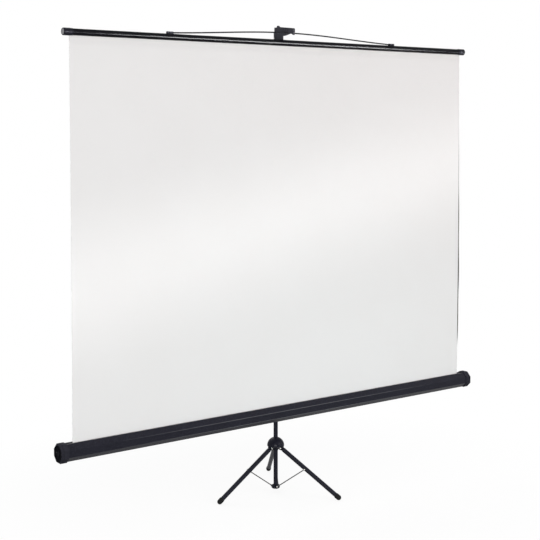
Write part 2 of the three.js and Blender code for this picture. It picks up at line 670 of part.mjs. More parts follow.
/** Knuckle in a leg's upper end: an eye and tongue for the hub and a spigot in the tube. */
function legKnuckle(name) {
  const tongue = new THREE.Shape();
  const collarTop = -(LEG_TUBE_START - FIT - LEG_FLANGE);
  tongue.absarc(0, 0, LEG_EYE_RADIUS, 0, Math.PI, false);
  tongue.lineTo(-LEG_EYE_RADIUS, collarTop - LEG_FLANGE / 2);
  tongue.lineTo(LEG_EYE_RADIUS, collarTop - LEG_FLANGE / 2);
  const flange = rod(LEG_TUBE_OD / 2, collarTop - LEG_FLANGE, collarTop, ROUND);
  const spigotRadius = LEG_TUBE_OD / 2 - LEG_TUBE_WALL - FIT;
  const spigot = rod(spigotRadius, collarTop - LEG_FLANGE - LEG_SPIGOT, collarTop, ROUND);
  const hole = layAlongY(rod(HUB_PIN_DIAMETER / 2 + FIT, -LEG_TUBE_OD, LEG_TUBE_OD));
  const half = LEG_TONGUE_THICK / 2;
  return piece(name, carve([extrudeAlongY(tongue, -half, half), flange, spigot], [hole]), BLACK_MOULDING);
}

/** Rubber cap on a leg's foot, cut flat where it stands on the floor. */
function footCap(name) {
  const mouth = LEG_TUBE_OD / 2 + FIT;
  const nose = Array.from({ length: NOSE_STEPS + 1 }, (_, k) => {
    const angle = Math.PI / 2 * (1 - k / NOSE_STEPS);
    return [FOOT_RADIUS * Math.cos(angle), -legLength - FOOT_RADIUS * Math.sin(angle)];
  });
  nose[0][0] = 0;
  const rim = -legLength + FOOT_SLEEVE;
  const seat = -legLength + FOOT_SEAT;
  const cap = revolve([
    ...nose, [FOOT_RADIUS, rim - FOOT_TAPER], [mouth + FOOT_MOUTH_WALL, rim], [mouth, rim],
    [mouth, seat], [0, seat],
  ]);
  cap.rotateY(-legTilt).translate(LEG_PIVOT_RADIUS, 0, LEG_PIVOT_Z);
  const floor = block([0, -THROUGH, -THROUGH], [FOOT_REACH + THROUGH, THROUGH, 0]);
  return piece(name, carve([cap], [floor]), BLACK_RUBBER);
}

/** Thin plated rod with a flattened eye at each end, standing on its lower eye. */
function braceRod(name) {
  const half = BRACE_ROD / 2;
  const ends = [0, braceLength];
  const eyes = ends.map((z) => layAlongY(rod(BRACE_EYE_RADIUS, -half, half)).translate(0, 0, z));
  const holes = ends.map((z) => (
    layAlongY(rod(BRACE_PIN_DIAMETER / 2 + FIT, -THROUGH, THROUGH)).translate(0, 0, z)
  ));
  return piece(name, carve([rod(half, 0, braceLength), ...eyes], holes), PLATED_STEEL);
}

/** One leg with its brace, at its azimuth. */
function leg(azimuth, number) {
  const tubeEnd = -(legLength - FOOT_SEAT - FIT);
  const bore = LEG_TUBE_OD / 2 - LEG_TUBE_WALL;
  const limb = at(LEG_PIVOT_RADIUS, 0, LEG_PIVOT_Z,
    legKnuckle(`leg_knuckle_${number}`),
    piece(`leg_tube_${number}`, tube(LEG_TUBE_OD / 2, bore, tubeEnd, -LEG_TUBE_START), BLACK_PAINT),
  );
  limb.rotation.y = -legTilt;
  const brace = at(BRACE_PIVOT_RADIUS, -braceOffset, BRACE_PIVOT_Z, braceRod(`brace_rod_${number}`));
  brace.rotation.y = braceTilt;
  const group = at(0, 0, 0,
    limb,
    footCap(`foot_cap_${number}`),
    at(LEG_PIVOT_RADIUS, 0, LEG_PIVOT_Z, hubPin(`hub_pin_${number}`)),
    brace,
    at(BRACE_PIVOT_RADIUS, 0, BRACE_PIVOT_Z, bracePin(`brace_pin_${number}`, BRACE_PIN_SEAT - baseFlat)),
    at(braceEnd.radius, 0, braceEnd.z, bracePin(`brace_rivet_${number}`, -braceInner)),
  );
  group.rotation.z = THREE.MathUtils.degToRad(azimuth);
  return group;
}

function tripod() {
  return at(0, 0, 0, legHub(), ...LEG_AZIMUTHS.map((azimuth, k) => leg(azimuth, k + 1)));
}

// Carriage

/** Sleeve on the mast with a boss in front for the case and one behind for its knob. */
function carriageSleeve() {
  const outer = CARRIAGE_OD / 2;
  const top = CARRIAGE_BOTTOM_Z + CARRIAGE_HEIGHT;
  const body = revolve([
    [mastSlide, CARRIAGE_BOTTOM_Z], [outer - CARRIAGE_EDGE, CARRIAGE_BOTTOM_Z],
    [outer, CARRIAGE_BOTTOM_Z + CARRIAGE_EDGE], [outer, top - CARRIAGE_EDGE], [outer - CARRIAGE_EDGE, top],
    [mastSlide, top], [mastSlide, CARRIAGE_BOTTOM_Z],
  ]);
  const knobZ = top - CARRIAGE_KNOB_DROP;
  const clear = rod(mastSlide, CARRIAGE_BOTTOM_Z - THROUGH, top + THROUGH, ROUND);
  const front = layAlongY(rod(PIVOT_BOSS_DIAMETER / 2, mastSlide, carriageFace, ROUND), -1)
    .translate(0, 0, PIVOT_Z);
  const bosses = carve([front, knobBoss(knobZ)], [clear]);
  const boltRadius = PIVOT_BOLT_DIAMETER / 2 + FIT;
  const boltBore = layAlongY(rod(boltRadius, PIVOT_BOLT_SETBACK - FIT, carriageFace + THROUGH), -1)
    .translate(0, 0, PIVOT_Z);
  const shape = carve([body, bosses], [boltBore, knobBore(knobZ)]);
  return piece('carriage_sleeve', shape, BLACK_MOULDING);
}

/** Saddle that holds the case's three rear facets, with a boss for the pivot bolt. */
function caseBracket() {
  const flat = CASE_FLATS / 2 + FIT;
  const corner = flat * Math.tan(Math.PI / 8);
  const step = BRACKET_PLATE / Math.SQRT2;
  const saddle = outline([
    [flat - BRACKET_LOWER_LIP, -corner - BRACKET_LOWER_LIP],
    [flat - BRACKET_LOWER_LIP + step, -corner - BRACKET_LOWER_LIP - step],
    [flat + BRACKET_PLATE, -corner - step],
    [flat + BRACKET_PLATE, corner + BRACKET_UPPER_LIP - step],
    [flat - BRACKET_UPPER_LIP + step, corner + BRACKET_UPPER_LIP + step],
    [flat - BRACKET_UPPER_LIP, corner + BRACKET_UPPER_LIP],
    [flat, corner],
    [flat, -corner],
  ]);
  const rise = PIVOT_Z - CASE_AXIS_Z;
  const toFace = flat + BRACKET_PLATE + BRACKET_BOSS_HEIGHT;
  const headSeat = flat + 2 * FIT + PIVOT_HEAD_THICK;
  const round = (radius, y0, y1) => layAlongY(rod(radius, y0, y1, ROUND)).translate(0, 0, rise);
  const boss = round(PIVOT_BOSS_DIAMETER / 2, flat + BRACKET_PLATE / 2, toFace);
  const hole = round(PIVOT_BOLT_DIAMETER / 2 + FIT, 0, toFace + THROUGH);
  const recess = round(PIVOT_HEAD_DIAMETER / 2 + FIT, 0, headSeat);
  const shape = carve(
    [extrudeAlongX(saddle, -BRACKET_LENGTH / 2, BRACKET_LENGTH / 2), boss], [hole, recess],
  );
  return at(0, -SCREEN_SETOUT, CASE_AXIS_Z, piece('case_bracket', shape, BLACK_PAINT));
}

/** Pivot bolt from the bracket's recess into the carriage's boss. */
function pivotBolt() {
  const headEnd = bracketInner - FIT;
  const headStart = headEnd - PIVOT_HEAD_THICK;
  const shank = PIVOT_BOLT_DIAMETER / 2;
  const head = PIVOT_HEAD_DIAMETER / 2;
  const profile = [
    [0, PIVOT_BOLT_SETBACK], [shank, PIVOT_BOLT_SETBACK], [shank, headStart], [head, headStart],
    [head, headEnd], [0, headEnd],
  ];
  return piece('pivot_bolt', layAlongY(revolve(profile), -1), PLATED_STEEL);
}

function carriage() {
  const washerStart = carriageFace + FIT;
  const washer = tube(
    WASHER_DIAMETER / 2, PIVOT_BOLT_DIAMETER / 2 + FIT, washerStart, washerStart + WASHER_THICK,
  );
  const knobZ = CARRIAGE_BOTTOM_Z + CARRIAGE_HEIGHT - CARRIAGE_KNOB_DROP;
  return at(0, 0, 0,
    carriageSleeve(),
    caseBracket(),
    at(0, 0, PIVOT_Z, pivotBolt(), piece('pivot_washer', layAlongY(washer, -1), WHITE_NYLON)),
    clampKnob('carriage_knob', knobZ, MAST_OD / 2),
  );
}

// Case and roller, about the case's own axis

/** Corners of an octagon, clockwise from the upper right one, in Y and Z. */
function octagonCorners(flats) {
  const radius = flats / 2 / Math.cos(Math.PI / 8);
  return Array.from({ length: 8 }, (_, k) => {
    const angle = Math.PI * (3 / 8 - k / 4);
    return [radius * Math.cos(angle), radius * Math.sin(angle)];
  });
}

/** Folded octagonal shell with a lipped slot along its top. */
function caseShell() {
  const top = CASE_FLATS / 2;
  const slot = CASE_SLOT / 2;
  const lip = slot + CASE_WALL;
  const section = outline([
    [slot, top - CASE_SLOT_LIP], [slot, top],
    ...octagonCorners(CASE_FLATS),
    [-slot, top], [-slot, top - CASE_SLOT_LIP], [-lip, top - CASE_SLOT_LIP], [-lip, top - CASE_WALL],
    ...octagonCorners(CASE_FLATS - 2 * CASE_WALL).reverse(),
    [lip, top - CASE_WALL], [lip, top - CASE_SLOT_LIP],
  ]);
  return piece('case_shell', extrudeAlongX(section, -shellHalf, shellHalf), BLACK_PAINT);
}

/** Moulded end cap: grooved and chamfered, ribbed in its recess, with a spigot and an axle seat. */
function caseCap(name, side) {
  const half = CAP_FLATS / 2;
  const spigot = CASE_FLATS / 2 - CASE_WALL - FIT;
  const grooveEnd = CAP_LENGTH - CAP_GROOVE_SETBACK;
  const grooveStart = grooveEnd - CAP_GROOVE_WIDTH;
  const floor = CAP_LENGTH - CAP_RECESS;
  const body = octagonal([
    [0, -CAP_SPIGOT], [spigot, -CAP_SPIGOT], [spigot, 0], [half, 0],
    [half, grooveStart], [half - CAP_GROOVE_DEPTH, grooveStart], [half - CAP_GROOVE_DEPTH, grooveEnd],
    [half, grooveEnd], [half, CAP_LENGTH - CAP_CHAMFER], [half - CAP_CHAMFER, CAP_LENGTH],
    [half - CAP_RIM, CAP_LENGTH], [half - CAP_RIM, floor], [0, floor],
  ]);
  const root = floor - CAP_RIB_THICK; // boss and ribs reach into the floor
  const boss = rod(CAP_BOSS_DIAMETER / 2, root, floor + CAP_BOSS_HEIGHT, ROUND);
  const reach = half - CAP_RIM / 2;
  const ribs = Array.from({ length: CAP_RIB_COUNT }, (_, k) => block(
    [-reach, -CAP_RIB_THICK / 2, root], [reach, CAP_RIB_THICK / 2, floor + CAP_RIB_HEIGHT],
  ).rotateZ(Math.PI * (k / CAP_RIB_COUNT + 1 / 8)));
  const place = (geometry) => layAlongX(geometry, side).translate(side * (shellHalf + FIT), 0, 0);
  const seatDepth = AXLE_SEAT + FIT;
  const seat = place(rod(SPINDLE_DIAMETER / 2 + FIT, -CAP_SPIGOT - THROUGH, -CAP_SPIGOT + seatDepth))
    .translate(0, rollerSetback, 0);
  const lipSide = CASE_SLOT / 2 + CASE_WALL + FIT;
  const lipSpace = place(block([-CASE_FLATS, -lipSide, -CAP_SPIGOT - THROUGH], [CASE_FLATS, lipSide, 0]))
    .translate(0, 0, CASE_FLATS / 2 - CASE_SLOT_LIP - FIT + CASE_FLATS);
  return piece(name, carve([body, boss, ...ribs].map(place), [seat, lipSpace]), BLACK_MOULDING);
}

/** Flanged bush in one end of the roller tube. */
function rollerBush(name, side) {
  const bore = SPINDLE_DIAMETER / 2 + SLIDE;
  const spigot = ROLLER_OD / 2 - ROLLER_WALL - FIT;
  const bush = revolve([
    [bore, -BUSH_LENGTH], [spigot, -BUSH_LENGTH], [spigot, FIT], [ROLLER_OD / 2, FIT],
    [ROLLER_OD / 2, FIT + BUSH_FLANGE], [bore, FIT + BUSH_FLANGE], [bore, -BUSH_LENGTH],
  ]);
  return piece(name, layAlongX(bush, side).translate(side * rollerHalf, 0, 0), WHITE_NYLON);
}

/** Axle fixed in an end cap, reaching into the roller. */
function rollerAxle(name, side, reach) {
  const capFace = shellHalf + FIT - CAP_SPIGOT;
  const axle = rod(SPINDLE_DIAMETER / 2, rollerHalf - reach, capFace + AXLE_SEAT, ROUND);
  return piece(name, layAlongX(axle, side), PLATED_STEEL);
}

/** Helix along X. */
class HelixCurve extends THREE.Curve {
  constructor(radius, pitch, turns) {
    super();
    Object.assign(this, { radius, pitch, turns, arcLengthDivisions: turns * SPRING_SAMPLES });
  }

  getPoint(t, target = new THREE.Vector3()) {
    const angle = 2 * Math.PI * this.turns * t;
    const travel = this.pitch * this.turns * t;
    return target.set(travel, this.radius * Math.cos(angle), this.radius * Math.sin(angle));
  }
}

/** Torsion spring wound round the fixed spindle. */
function torsionSpring() {
  const radius = SPINDLE_DIAMETER / 2 + FIT + SPRING_WIRE / 2;
  const steps = SPRING_TURNS * SPRING_STEPS;
  const helix = new HelixCurve(radius, SPRING_PITCH, SPRING_TURNS);
  const spring = tubeAlong(helix, SPRING_WIRE / 2, SPRING_SIDES, steps);
  const start = -rollerHalf + BUSH_LENGTH + SPRING_SETBACK;
  return piece('torsion_spring', spring.translate(start, 0, 0), SPRING_STEEL);
}

function screenCase() {
  const sheetHalf = SHEET_WIDTH / 2;
  const rollerBore = ROLLER_OD / 2 - ROLLER_WALL;
  const rollerTube = layAlongX(tube(ROLLER_OD / 2, rollerBore, -rollerHalf, rollerHalf));
  const turns = layAlongX(tube(rollRadius, ROLLER_OD / 2 + FIT, -sheetHalf, sheetHalf));
  return at(0, -SCREEN_SETOUT, CASE_AXIS_Z,
    caseShell(),
    caseCap('case_cap_left', -1),
    caseCap('case_cap_right', 1),
    at(0, rollerSetback, 0,
      piece('roller_tube', rollerTube, PLATED_STEEL),
      piece('fabric_roll', turns, WHITE_CLOTH),
      rollerBush('roller_bush_left', -1),
      rollerBush('roller_bush_right', 1),
      rollerAxle('roller_spindle', -1, SPINDLE_REACH),
      rollerAxle('idler_pin', 1, IDLER_REACH),
      torsionSpring(),
    ),
  );
}

// Sheet, batten and bail, in the sheet's plane

/** White sheet from the roller's front up into the batten's groove. */
function screenSheet() {
  const top = battenZ - hemRodDrop - HEM_ROD_DIAMETER / 2 - FIT;
  const half = SHEET_WIDTH / 2;
  const cloth = block([-half, -SHEET_THICK / 2, CASE_AXIS_Z], [half, SHEET_THICK / 2, top]);
  return piece('screen_sheet', cloth, WHITE_CLOTH);
}

/** Batten tube with a groove along its underside. */
function battenTube() {
  const outer = BATTEN_OD / 2;
  const inner = outer - BATTEN_WALL;
  const outerGap = Math.asin(grooveHalf / outer);
  const innerGap = Math.asin(grooveHalf / inner);
  const down = -Math.PI / 2;
  const section = new THREE.Shape();
  section.absarc(0, 0, outer, down + outerGap, down + 2 * Math.PI - outerGap, false);
  section.absarc(0, 0, inner, down + 2 * Math.PI - innerGap, down + innerGap, true);
  return piece('batten_tube', extrudeAlongX(section, -battenHalf, battenHalf, BATTEN_ARC_STEPS), BLACK_PAINT);
}

/** End cap of the batten: a spigot in the tube and a stepped sleeve over it, slit for the sheet. */
function battenCap(name, side) {
  const radius = BATTEN_CAP_DIAMETER / 2;
  const spigot = BATTEN_OD / 2 - BATTEN_WALL - FIT;
  const bore = BATTEN_OD / 2 + FIT;
  const face = FIT + BATTEN_CAP_LENGTH;
  const recess = radius - BATTEN_CAP_RIM;
  const cap = revolve([
    [0, -BATTEN_CAP_SPIGOT], [spigot, -BATTEN_CAP_SPIGOT], [spigot, FIT], [bore, FIT],
    [bore, -BATTEN_CAP_SLEEVE], [bore + BATTEN_CAP_THIN, -BATTEN_CAP_SLEEVE],
    [bore + BATTEN_CAP_THIN, -BATTEN_CAP_STEP], [radius, -BATTEN_CAP_STEP],
    [radius, face - BATTEN_CAP_CHAMFER], [radius - BATTEN_CAP_CHAMFER, face], [recess, face],
    [recess, face - BATTEN_CAP_RECESS], [0, face - BATTEN_CAP_RECESS],
  ]);
  const place = (geometry) => layAlongX(geometry, side).translate(side * battenHalf, 0, 0);
  const sheetEnd = SHEET_WIDTH / 2 + 2 * FIT;
  const slit = block([-sheetEnd, -grooveHalf, -THROUGH], [sheetEnd, grooveHalf, -BATTEN_OD / 2]);
  return piece(name, carve([place(cap)], [slit]), BLACK_MOULDING);
}

/** Arch of the bail wire over the batten, with straight ends in the clips. */
class BailCurve extends THREE.Curve {
  getPoint(t, target = new THREE.Vector3()) {
    const end = clipCentre - CLIP_LENGTH / 2 + CLIP_SEAT;
    const x = end * (2 * t - 1);
    const share = Math.min(1, Math.abs(x) / (BAIL_SPAN / 2));
    const bow = Math.cos(Math.PI * share / 2);
    const swell = (1 + Math.cos(Math.PI * share)) / 2;
    return target.set(x, 0, wireEndRise + BAIL_RISE * (bow + swell) / 2);
  }
}

/** Clip on the batten's top that holds one end of the bail wire. */
function bailClip(name, side) {
  const half = CLIP_WIDTH / 2;
  const top = BATTEN_OD / 2 + CLIP_HEIGHT;
  const section = new THREE.Shape();
  section.moveTo(-half, 0);
  section.lineTo(half, 0);
  section.lineTo(half, top - CLIP_CROWN);
  section.absarc(half - CLIP_CROWN, top - CLIP_CROWN, CLIP_CROWN, 0, Math.PI / 2, false);
  section.absarc(-half + CLIP_CROWN, top - CLIP_CROWN, CLIP_CROWN, Math.PI / 2, Math.PI, false);
  const inner = clipCentre - CLIP_LENGTH / 2;
  const outer = inner + CLIP_LENGTH;
  const body = extrudeAlongX(section, inner, outer);
  const saddle = layAlongX(rod(BATTEN_OD / 2 + FIT, inner - THROUGH, outer + THROUGH, 2 * ROUND));
  const boreRadius = BAIL_WIRE / 2 + CLIP_BORE_CLEARANCE;
  const wireHole = layAlongX(rod(boreRadius, inner - THROUGH, inner + CLIP_SEAT + FIT))
    .translate(0, 0, wireEndRise);
  const clip = carve([body], [saddle, wireHole]);
  if (side < 0) clip.rotateZ(Math.PI);
  return piece(name, clip, BLACK_MOULDING);
}

function batten() {
  const hemHalf = battenHalf - BATTEN_CAP_SPIGOT - HEM_ROD_SETBACK;
  const hemRod = layAlongX(rod(HEM_ROD_DIAMETER / 2, -hemHalf, hemHalf)).translate(0, 0, -hemRodDrop);
  return at(0, 0, battenZ,
    battenTube(),
    battenCap('batten_cap_left', -1),
    battenCap('batten_cap_right', 1),
    piece('hem_rod', hemRod, PLATED_STEEL),
    piece('bail_wire', tubeAlong(new BailCurve(), BAIL_WIRE / 2, BAIL_SIDES, BAIL_STEPS), SPRING_STEEL),
    bailClip('bail_clip_left', -1),
    bailClip('bail_clip_right', 1),
  );
}

const tripodScreen = at(0, 0, 0,
  mast(),
  extension(),
  tripod(),
  carriage(),
  screenCase(),
  at(0, -SCREEN_SETOUT, 0, screenSheet(), batten()),
);

export default tripodScreen;
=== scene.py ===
"""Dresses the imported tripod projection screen: its cloth, finishes, fasteners and studio.

Everything is in metres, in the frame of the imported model: the floor is at Z = 0 under the mast, +X runs
along the screen, and the white side of the cloth faces -Y.
"""

from __future__ import annotations

import json
import logging
import math
from dataclasses import dataclass
from enum import Enum
from typing import Any, Iterable, Mapping, Optional, Sequence, Union

import bmesh
import bpy
from mathutils import Matrix, Vector

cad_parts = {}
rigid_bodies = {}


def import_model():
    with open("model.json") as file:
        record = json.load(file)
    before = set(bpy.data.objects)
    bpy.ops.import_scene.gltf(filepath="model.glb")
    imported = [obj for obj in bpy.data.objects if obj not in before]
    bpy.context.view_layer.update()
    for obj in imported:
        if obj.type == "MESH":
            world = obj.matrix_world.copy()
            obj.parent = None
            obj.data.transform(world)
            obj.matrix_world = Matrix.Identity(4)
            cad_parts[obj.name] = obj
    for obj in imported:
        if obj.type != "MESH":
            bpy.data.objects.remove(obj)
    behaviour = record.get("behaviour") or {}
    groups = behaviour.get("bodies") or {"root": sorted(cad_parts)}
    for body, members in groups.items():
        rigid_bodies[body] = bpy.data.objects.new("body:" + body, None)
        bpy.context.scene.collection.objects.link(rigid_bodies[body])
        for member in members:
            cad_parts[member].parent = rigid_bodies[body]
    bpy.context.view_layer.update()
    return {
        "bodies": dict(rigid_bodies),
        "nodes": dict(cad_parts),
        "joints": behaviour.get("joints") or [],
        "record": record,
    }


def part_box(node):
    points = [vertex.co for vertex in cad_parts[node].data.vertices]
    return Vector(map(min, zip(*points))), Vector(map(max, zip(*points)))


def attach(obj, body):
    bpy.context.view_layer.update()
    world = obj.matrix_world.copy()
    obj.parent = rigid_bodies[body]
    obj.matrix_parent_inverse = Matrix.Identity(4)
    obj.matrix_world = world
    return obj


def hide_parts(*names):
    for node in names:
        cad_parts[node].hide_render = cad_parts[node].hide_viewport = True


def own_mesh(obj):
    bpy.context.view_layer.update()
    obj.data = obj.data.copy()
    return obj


LOG = logging.getLogger("tripod_screen")

Colour = tuple[float, float, float]
Ring = list[Vector]

WHITE: Colour = (1.0, 1.0, 1.0)
PLAIN_NOISE, FINE_NOISE, CLOUDY_NOISE = 2.0, 3.0, 4.0  # octaves of finer noise in a noise


class Axis(Enum):
    """Direction that a tube's drawing lines, or a fastener's shank, run along."""

    X = (1.0, 0.0, 0.0)
    Y = (0.0, 1.0, 0.0)
    Z = (0.0, 0.0, 1.0)
    MINUS_X = (-1.0, 0.0, 0.0)

    def turn(self) -> Matrix:
        """Return the rotation that lays a piece made along +Z along this axis."""
        return Vector(self.value).to_track_quat("Z", "Y").to_matrix().to_4x4()


class Value:
    """A shader socket that takes part in Python arithmetic on numbers."""

    def __init__(self, tree: "ShaderTree", socket: bpy.types.NodeSocket) -> None:
        """Keep the socket and the tree that new nodes go into."""
        self.tree = tree
        self.socket = socket

    def _math(self, operation: str, first: "Number", second: "Number" = 0.0) -> "Value":
        """Add one Math node.

        Args:
            operation: The Math node's operation.
            first: Its first number or link.
            second: Its second number or link.

        Returns:
            The node's result.
        """
        return self.tree.node("ShaderNodeMath", {"operation": operation}, {0: first, 1: second})

    def __add__(self, other: "Number") -> "Value":
        """Return self + other."""
        return self._math("ADD", self, other)

    def __radd__(self, other: "Number") -> "Value":
        """Return other + self."""
        return self._math("ADD", other, self)

    def __sub__(self, other: "Number") -> "Value":
        """Return self - other."""
        return self._math("SUBTRACT", self, other)

    def __rsub__(self, other: "Number") -> "Value":
        """Return other - self."""
        return self._math("SUBTRACT", other, self)

    def __mul__(self, other: "Number") -> "Value":
        """Return self * other."""
        return self._math("MULTIPLY", self, other)

    def __rmul__(self, other: "Number") -> "Value":
        """Return other * self."""
        return self._math("MULTIPLY", other, self)

    def __truediv__(self, other: "Number") -> "Value":
        """Return self / other."""
        return self._math("DIVIDE", self, other)

    def __rtruediv__(self, other: "Number") -> "Value":
        """Return other / self."""
        return self._math("DIVIDE", other, self)

    def sine(self) -> "Value":
        """Return the sine of the value."""
        return self._math("SINE", self)

    def clamped(self) -> "Value":
        """Return the value held between 0 and 1."""
        return self.tree.node("ShaderNodeClamp", {}, {"Value": self})

    def above(self, start: float, rate: float) -> "Value":
        """Return 0 up to a start, and from there a rise at a rate, up to 1."""
        return ((self - start) * rate).clamped()

    def swing(self, reach: float) -> "Value":
        """Return how far a value from 0 to 1 is from its middle, times a reach."""
        return (self - 0.5) * reach


Number = Union[float, Value]


class ShaderTree:
    """Nodes of one material or of the world."""

    def __init__(self, tree: bpy.types.NodeTree) -> None:
        """Start from an empty tree."""
        self.tree = tree
        self.tree.nodes.clear()

    def node(
        self,
        kind: str,
        settings: Optional[Mapping[str, Any]] = None,
        inputs: Optional[Mapping[Union[int, str], Any]] = None,
        output: Union[int, str] = 0,
    ) -> Value:
        """Add a node of any type.

        Args:
            kind: The node's type name.
            settings: Its properties, set first; "stops" gives a ramp's (position, colour) pairs.
            inputs: Values or links of its sockets, by name or index.
            output: Which of its outputs to return.

        Returns:
            The chosen output.
        """
        made = self.tree.nodes.new(kind)
        for name, value in (settings or {}).items():
            if name == "stops":
                self._set_stops(made, value)
            else:
                setattr(made, name, value)
        for key, value in (inputs or {}).items():
            socket = made.inputs[key]
            if isinstance(value, Value):
                self.tree.links.new(value.socket, socket)
            else:
                socket.default_value = self._fitted(socket, value)
        if not made.outputs:
            return Value(self, made.inputs[0])
        return Value(self, made.outputs[output])

    @staticmethod
    def _set_stops(ramp: bpy.types.Node, stops: Sequence[tuple[float, Colour]]) -> None:
        """Give a colour ramp its stops.

        Args:
            ramp: The ramp node.
            stops: Position and colour of each stop, in order.
        """
        elements = ramp.color_ramp.elements
        while len(elements) < len(stops):
            elements.new(0.5)
        for element, (position, colour) in zip(elements, stops):
            element.position = position
            element.color = (*colour, 1.0)

    @staticmethod
    def _fitted(socket: bpy.types.NodeSocket, value: Any) -> Any:
        """Give a colour its alpha where the socket wants one.

        Args:
            socket: The socket to set.
            value: A number, vector or colour.

        Returns:
            The value in the socket's own length.
        """
        if socket.type == "RGBA" and len(value) == 3:
            return (*value, 1.0)
        return value

    def place(self, stretch: Colour = (1.0, 1.0, 1.0)) -> Value:
        """Return the point's place on the object, each coordinate times a stretch."""
        point = self.node("ShaderNodeTexCoord", output="Object")
        return self.node("ShaderNodeVectorMath", {"operation": "MULTIPLY"}, {0: point, 1: stretch})

    def coordinates(self) -> tuple[Value, Value, Value]:
        """Split the point's place on the object.

        Returns:
            Its X, Y and Z.
        """
        split = self.node("ShaderNodeSeparateXYZ", {}, {0: self.place()})
        outputs = split.socket.node.outputs
        return Value(self, outputs[0]), Value(self, outputs[1]), Value(self, outputs[2])

    def noise(self, size: float, detail: float, stretch: Colour = (1.0, 1.0, 1.0)) -> Value:
        """Add a noise from 0 to 1.

        Args:
            size: Size of its patches, in metres.
            detail: Octaves of finer noise in it.
            stretch: Factor on each coordinate, below 1 along a streak.

        Returns:
            The noise value.
        """
        inputs = {"Vector": self.place(stretch), "Scale": 1.0 / size, "Detail": detail}
        return self.node("ShaderNodeTexNoise", {}, inputs)

    def cells(self, size: float) -> Value:
        """Return the distance to the middle of the nearest cell of a size in metres, over that size."""
        inputs = {"Vector": self.place(), "Scale": 1.0 / size}
        return self.node("ShaderNodeTexVoronoi", {}, inputs, "Distance")

    def mix(self, share: Number, first: Union[Colour, Value], second: Union[Colour, Value]) -> Value:
        """Mix two colours.

        Args:
            share: How much of the second colour.
            first: Colour at 0.
            second: Colour at 1.

        Returns:
            The mixed colour.
        """
        return self.node("ShaderNodeMix", {"data_type": "RGBA"}, {0: share, 6: first, 7: second}, 2)

    def bump(self, height: Value, depth: float, strength: float) -> Value:
        """Return a normal that follows a height from 0 to 1, over a depth in metres."""
        inputs = {"Height": height, "Distance": depth, "Strength": strength}
        return self.node("ShaderNodeBump", {}, inputs)

    def seen_ray(self) -> Value:
        """Tell the rays that see the background from those that light the object.

        Returns:
            1 on camera, glossy and transmission rays, and 0 on the others.
        """
        camera = self.node("ShaderNodeLightPath", output="Is Camera Ray")
        outputs = camera.socket.node.outputs
        glossy = Value(self, outputs["Is Glossy Ray"])
        transmitted = Value(self, outputs["Is Transmission Ray"])
        return (camera + glossy + transmitted).clamped()


@dataclass(frozen=True)
class Finish:
    """A finish of the object, made into one material that its pieces share."""

    name: str

    def surface(self, tree: ShaderTree) -> dict[str, Any]:
        """Work out the finish's shader.

        Args:
            tree: The material's nodes.

        Returns:
            The sockets of the Principled shader, by name.
        """
        raise NotImplementedError

    def material(self) -> bpy.types.Material:
        """Make the finish's material on first use.

        Returns:
            The material.
        """
        made = bpy.data.materials.get(self.name)
        if made is None:
            made = bpy.data.materials.new(self.name)
            made.use_nodes = True
            tree = ShaderTree(made.node_tree)
            shader = tree.node("ShaderNodeBsdfPrincipled", {}, self.surface(tree))
            tree.node("ShaderNodeOutputMaterial", {}, {"Surface": shader})
        return made


@dataclass(frozen=True)
class SatinPaint(Finish):
    """Satin black powder coat on a tube or a folded shell, rubbed along its length."""

    along: Axis = Axis.Z
    dark: Colour = (0.014, 0.014, 0.021)
    light: Colour = (0.023, 0.023, 0.033)
    gloss: float = 0.34
    shine: float = 0.05
    peel: float = 0.0011  # size of the dimples in the coat's skin
    peel_depth: float = 0.00008
    peel_strength: float = 0.5
    peel_gloss: float = 0.08
    cloud: float = 0.09  # size of the patches of tone and gloss
    cloud_tone: float = 0.7
    cloud_gloss: float = 0.16
    rub_width: float = 0.004
    rub_length: float = 30.0  # over the width
    rub_start: float = 0.58  # noise from which a rub mark shows
    rub_rate: float = 6.0
    patch_start: float = 0.42  # cloud from which the coat takes rub marks
    patch_rate: float = 4.0
    wear: float = 0.3  # how far the rub marks lighten the coat
    wear_gloss: float = 0.3  # how far they smooth it, over that

    def surface(self, tree: ShaderTree) -> dict[str, Any]:
        """Make a coat with an orange-peel skin, cloudy gloss and lengthwise rub marks.

        Args:
            tree: The material's nodes.

        Returns:
            The sockets of the Principled shader, by name.
        """
        peel = tree.noise(self.peel, FINE_NOISE)
        cloud = tree.noise(self.cloud, CLOUDY_NOISE)
        length = tuple(1.0 / self.rub_length if step else 1.0 for step in self.along.value)
        rub = tree.noise(self.rub_width, PLAIN_NOISE, length)
        patches = cloud.above(self.patch_start, self.patch_rate)
        marks = rub.above(self.rub_start, self.rub_rate) * patches
        gloss = self.gloss + cloud.swing(self.cloud_gloss) + peel.swing(self.peel_gloss)
        return {
            "Base Color": tree.mix(cloud * self.cloud_tone + marks * self.wear, self.dark, self.light),
            "Roughness": gloss - marks * self.wear * self.wear_gloss,
            "Specular IOR Level": self.shine,
            "Normal": tree.bump(peel, self.peel_depth, self.peel_strength),
        }


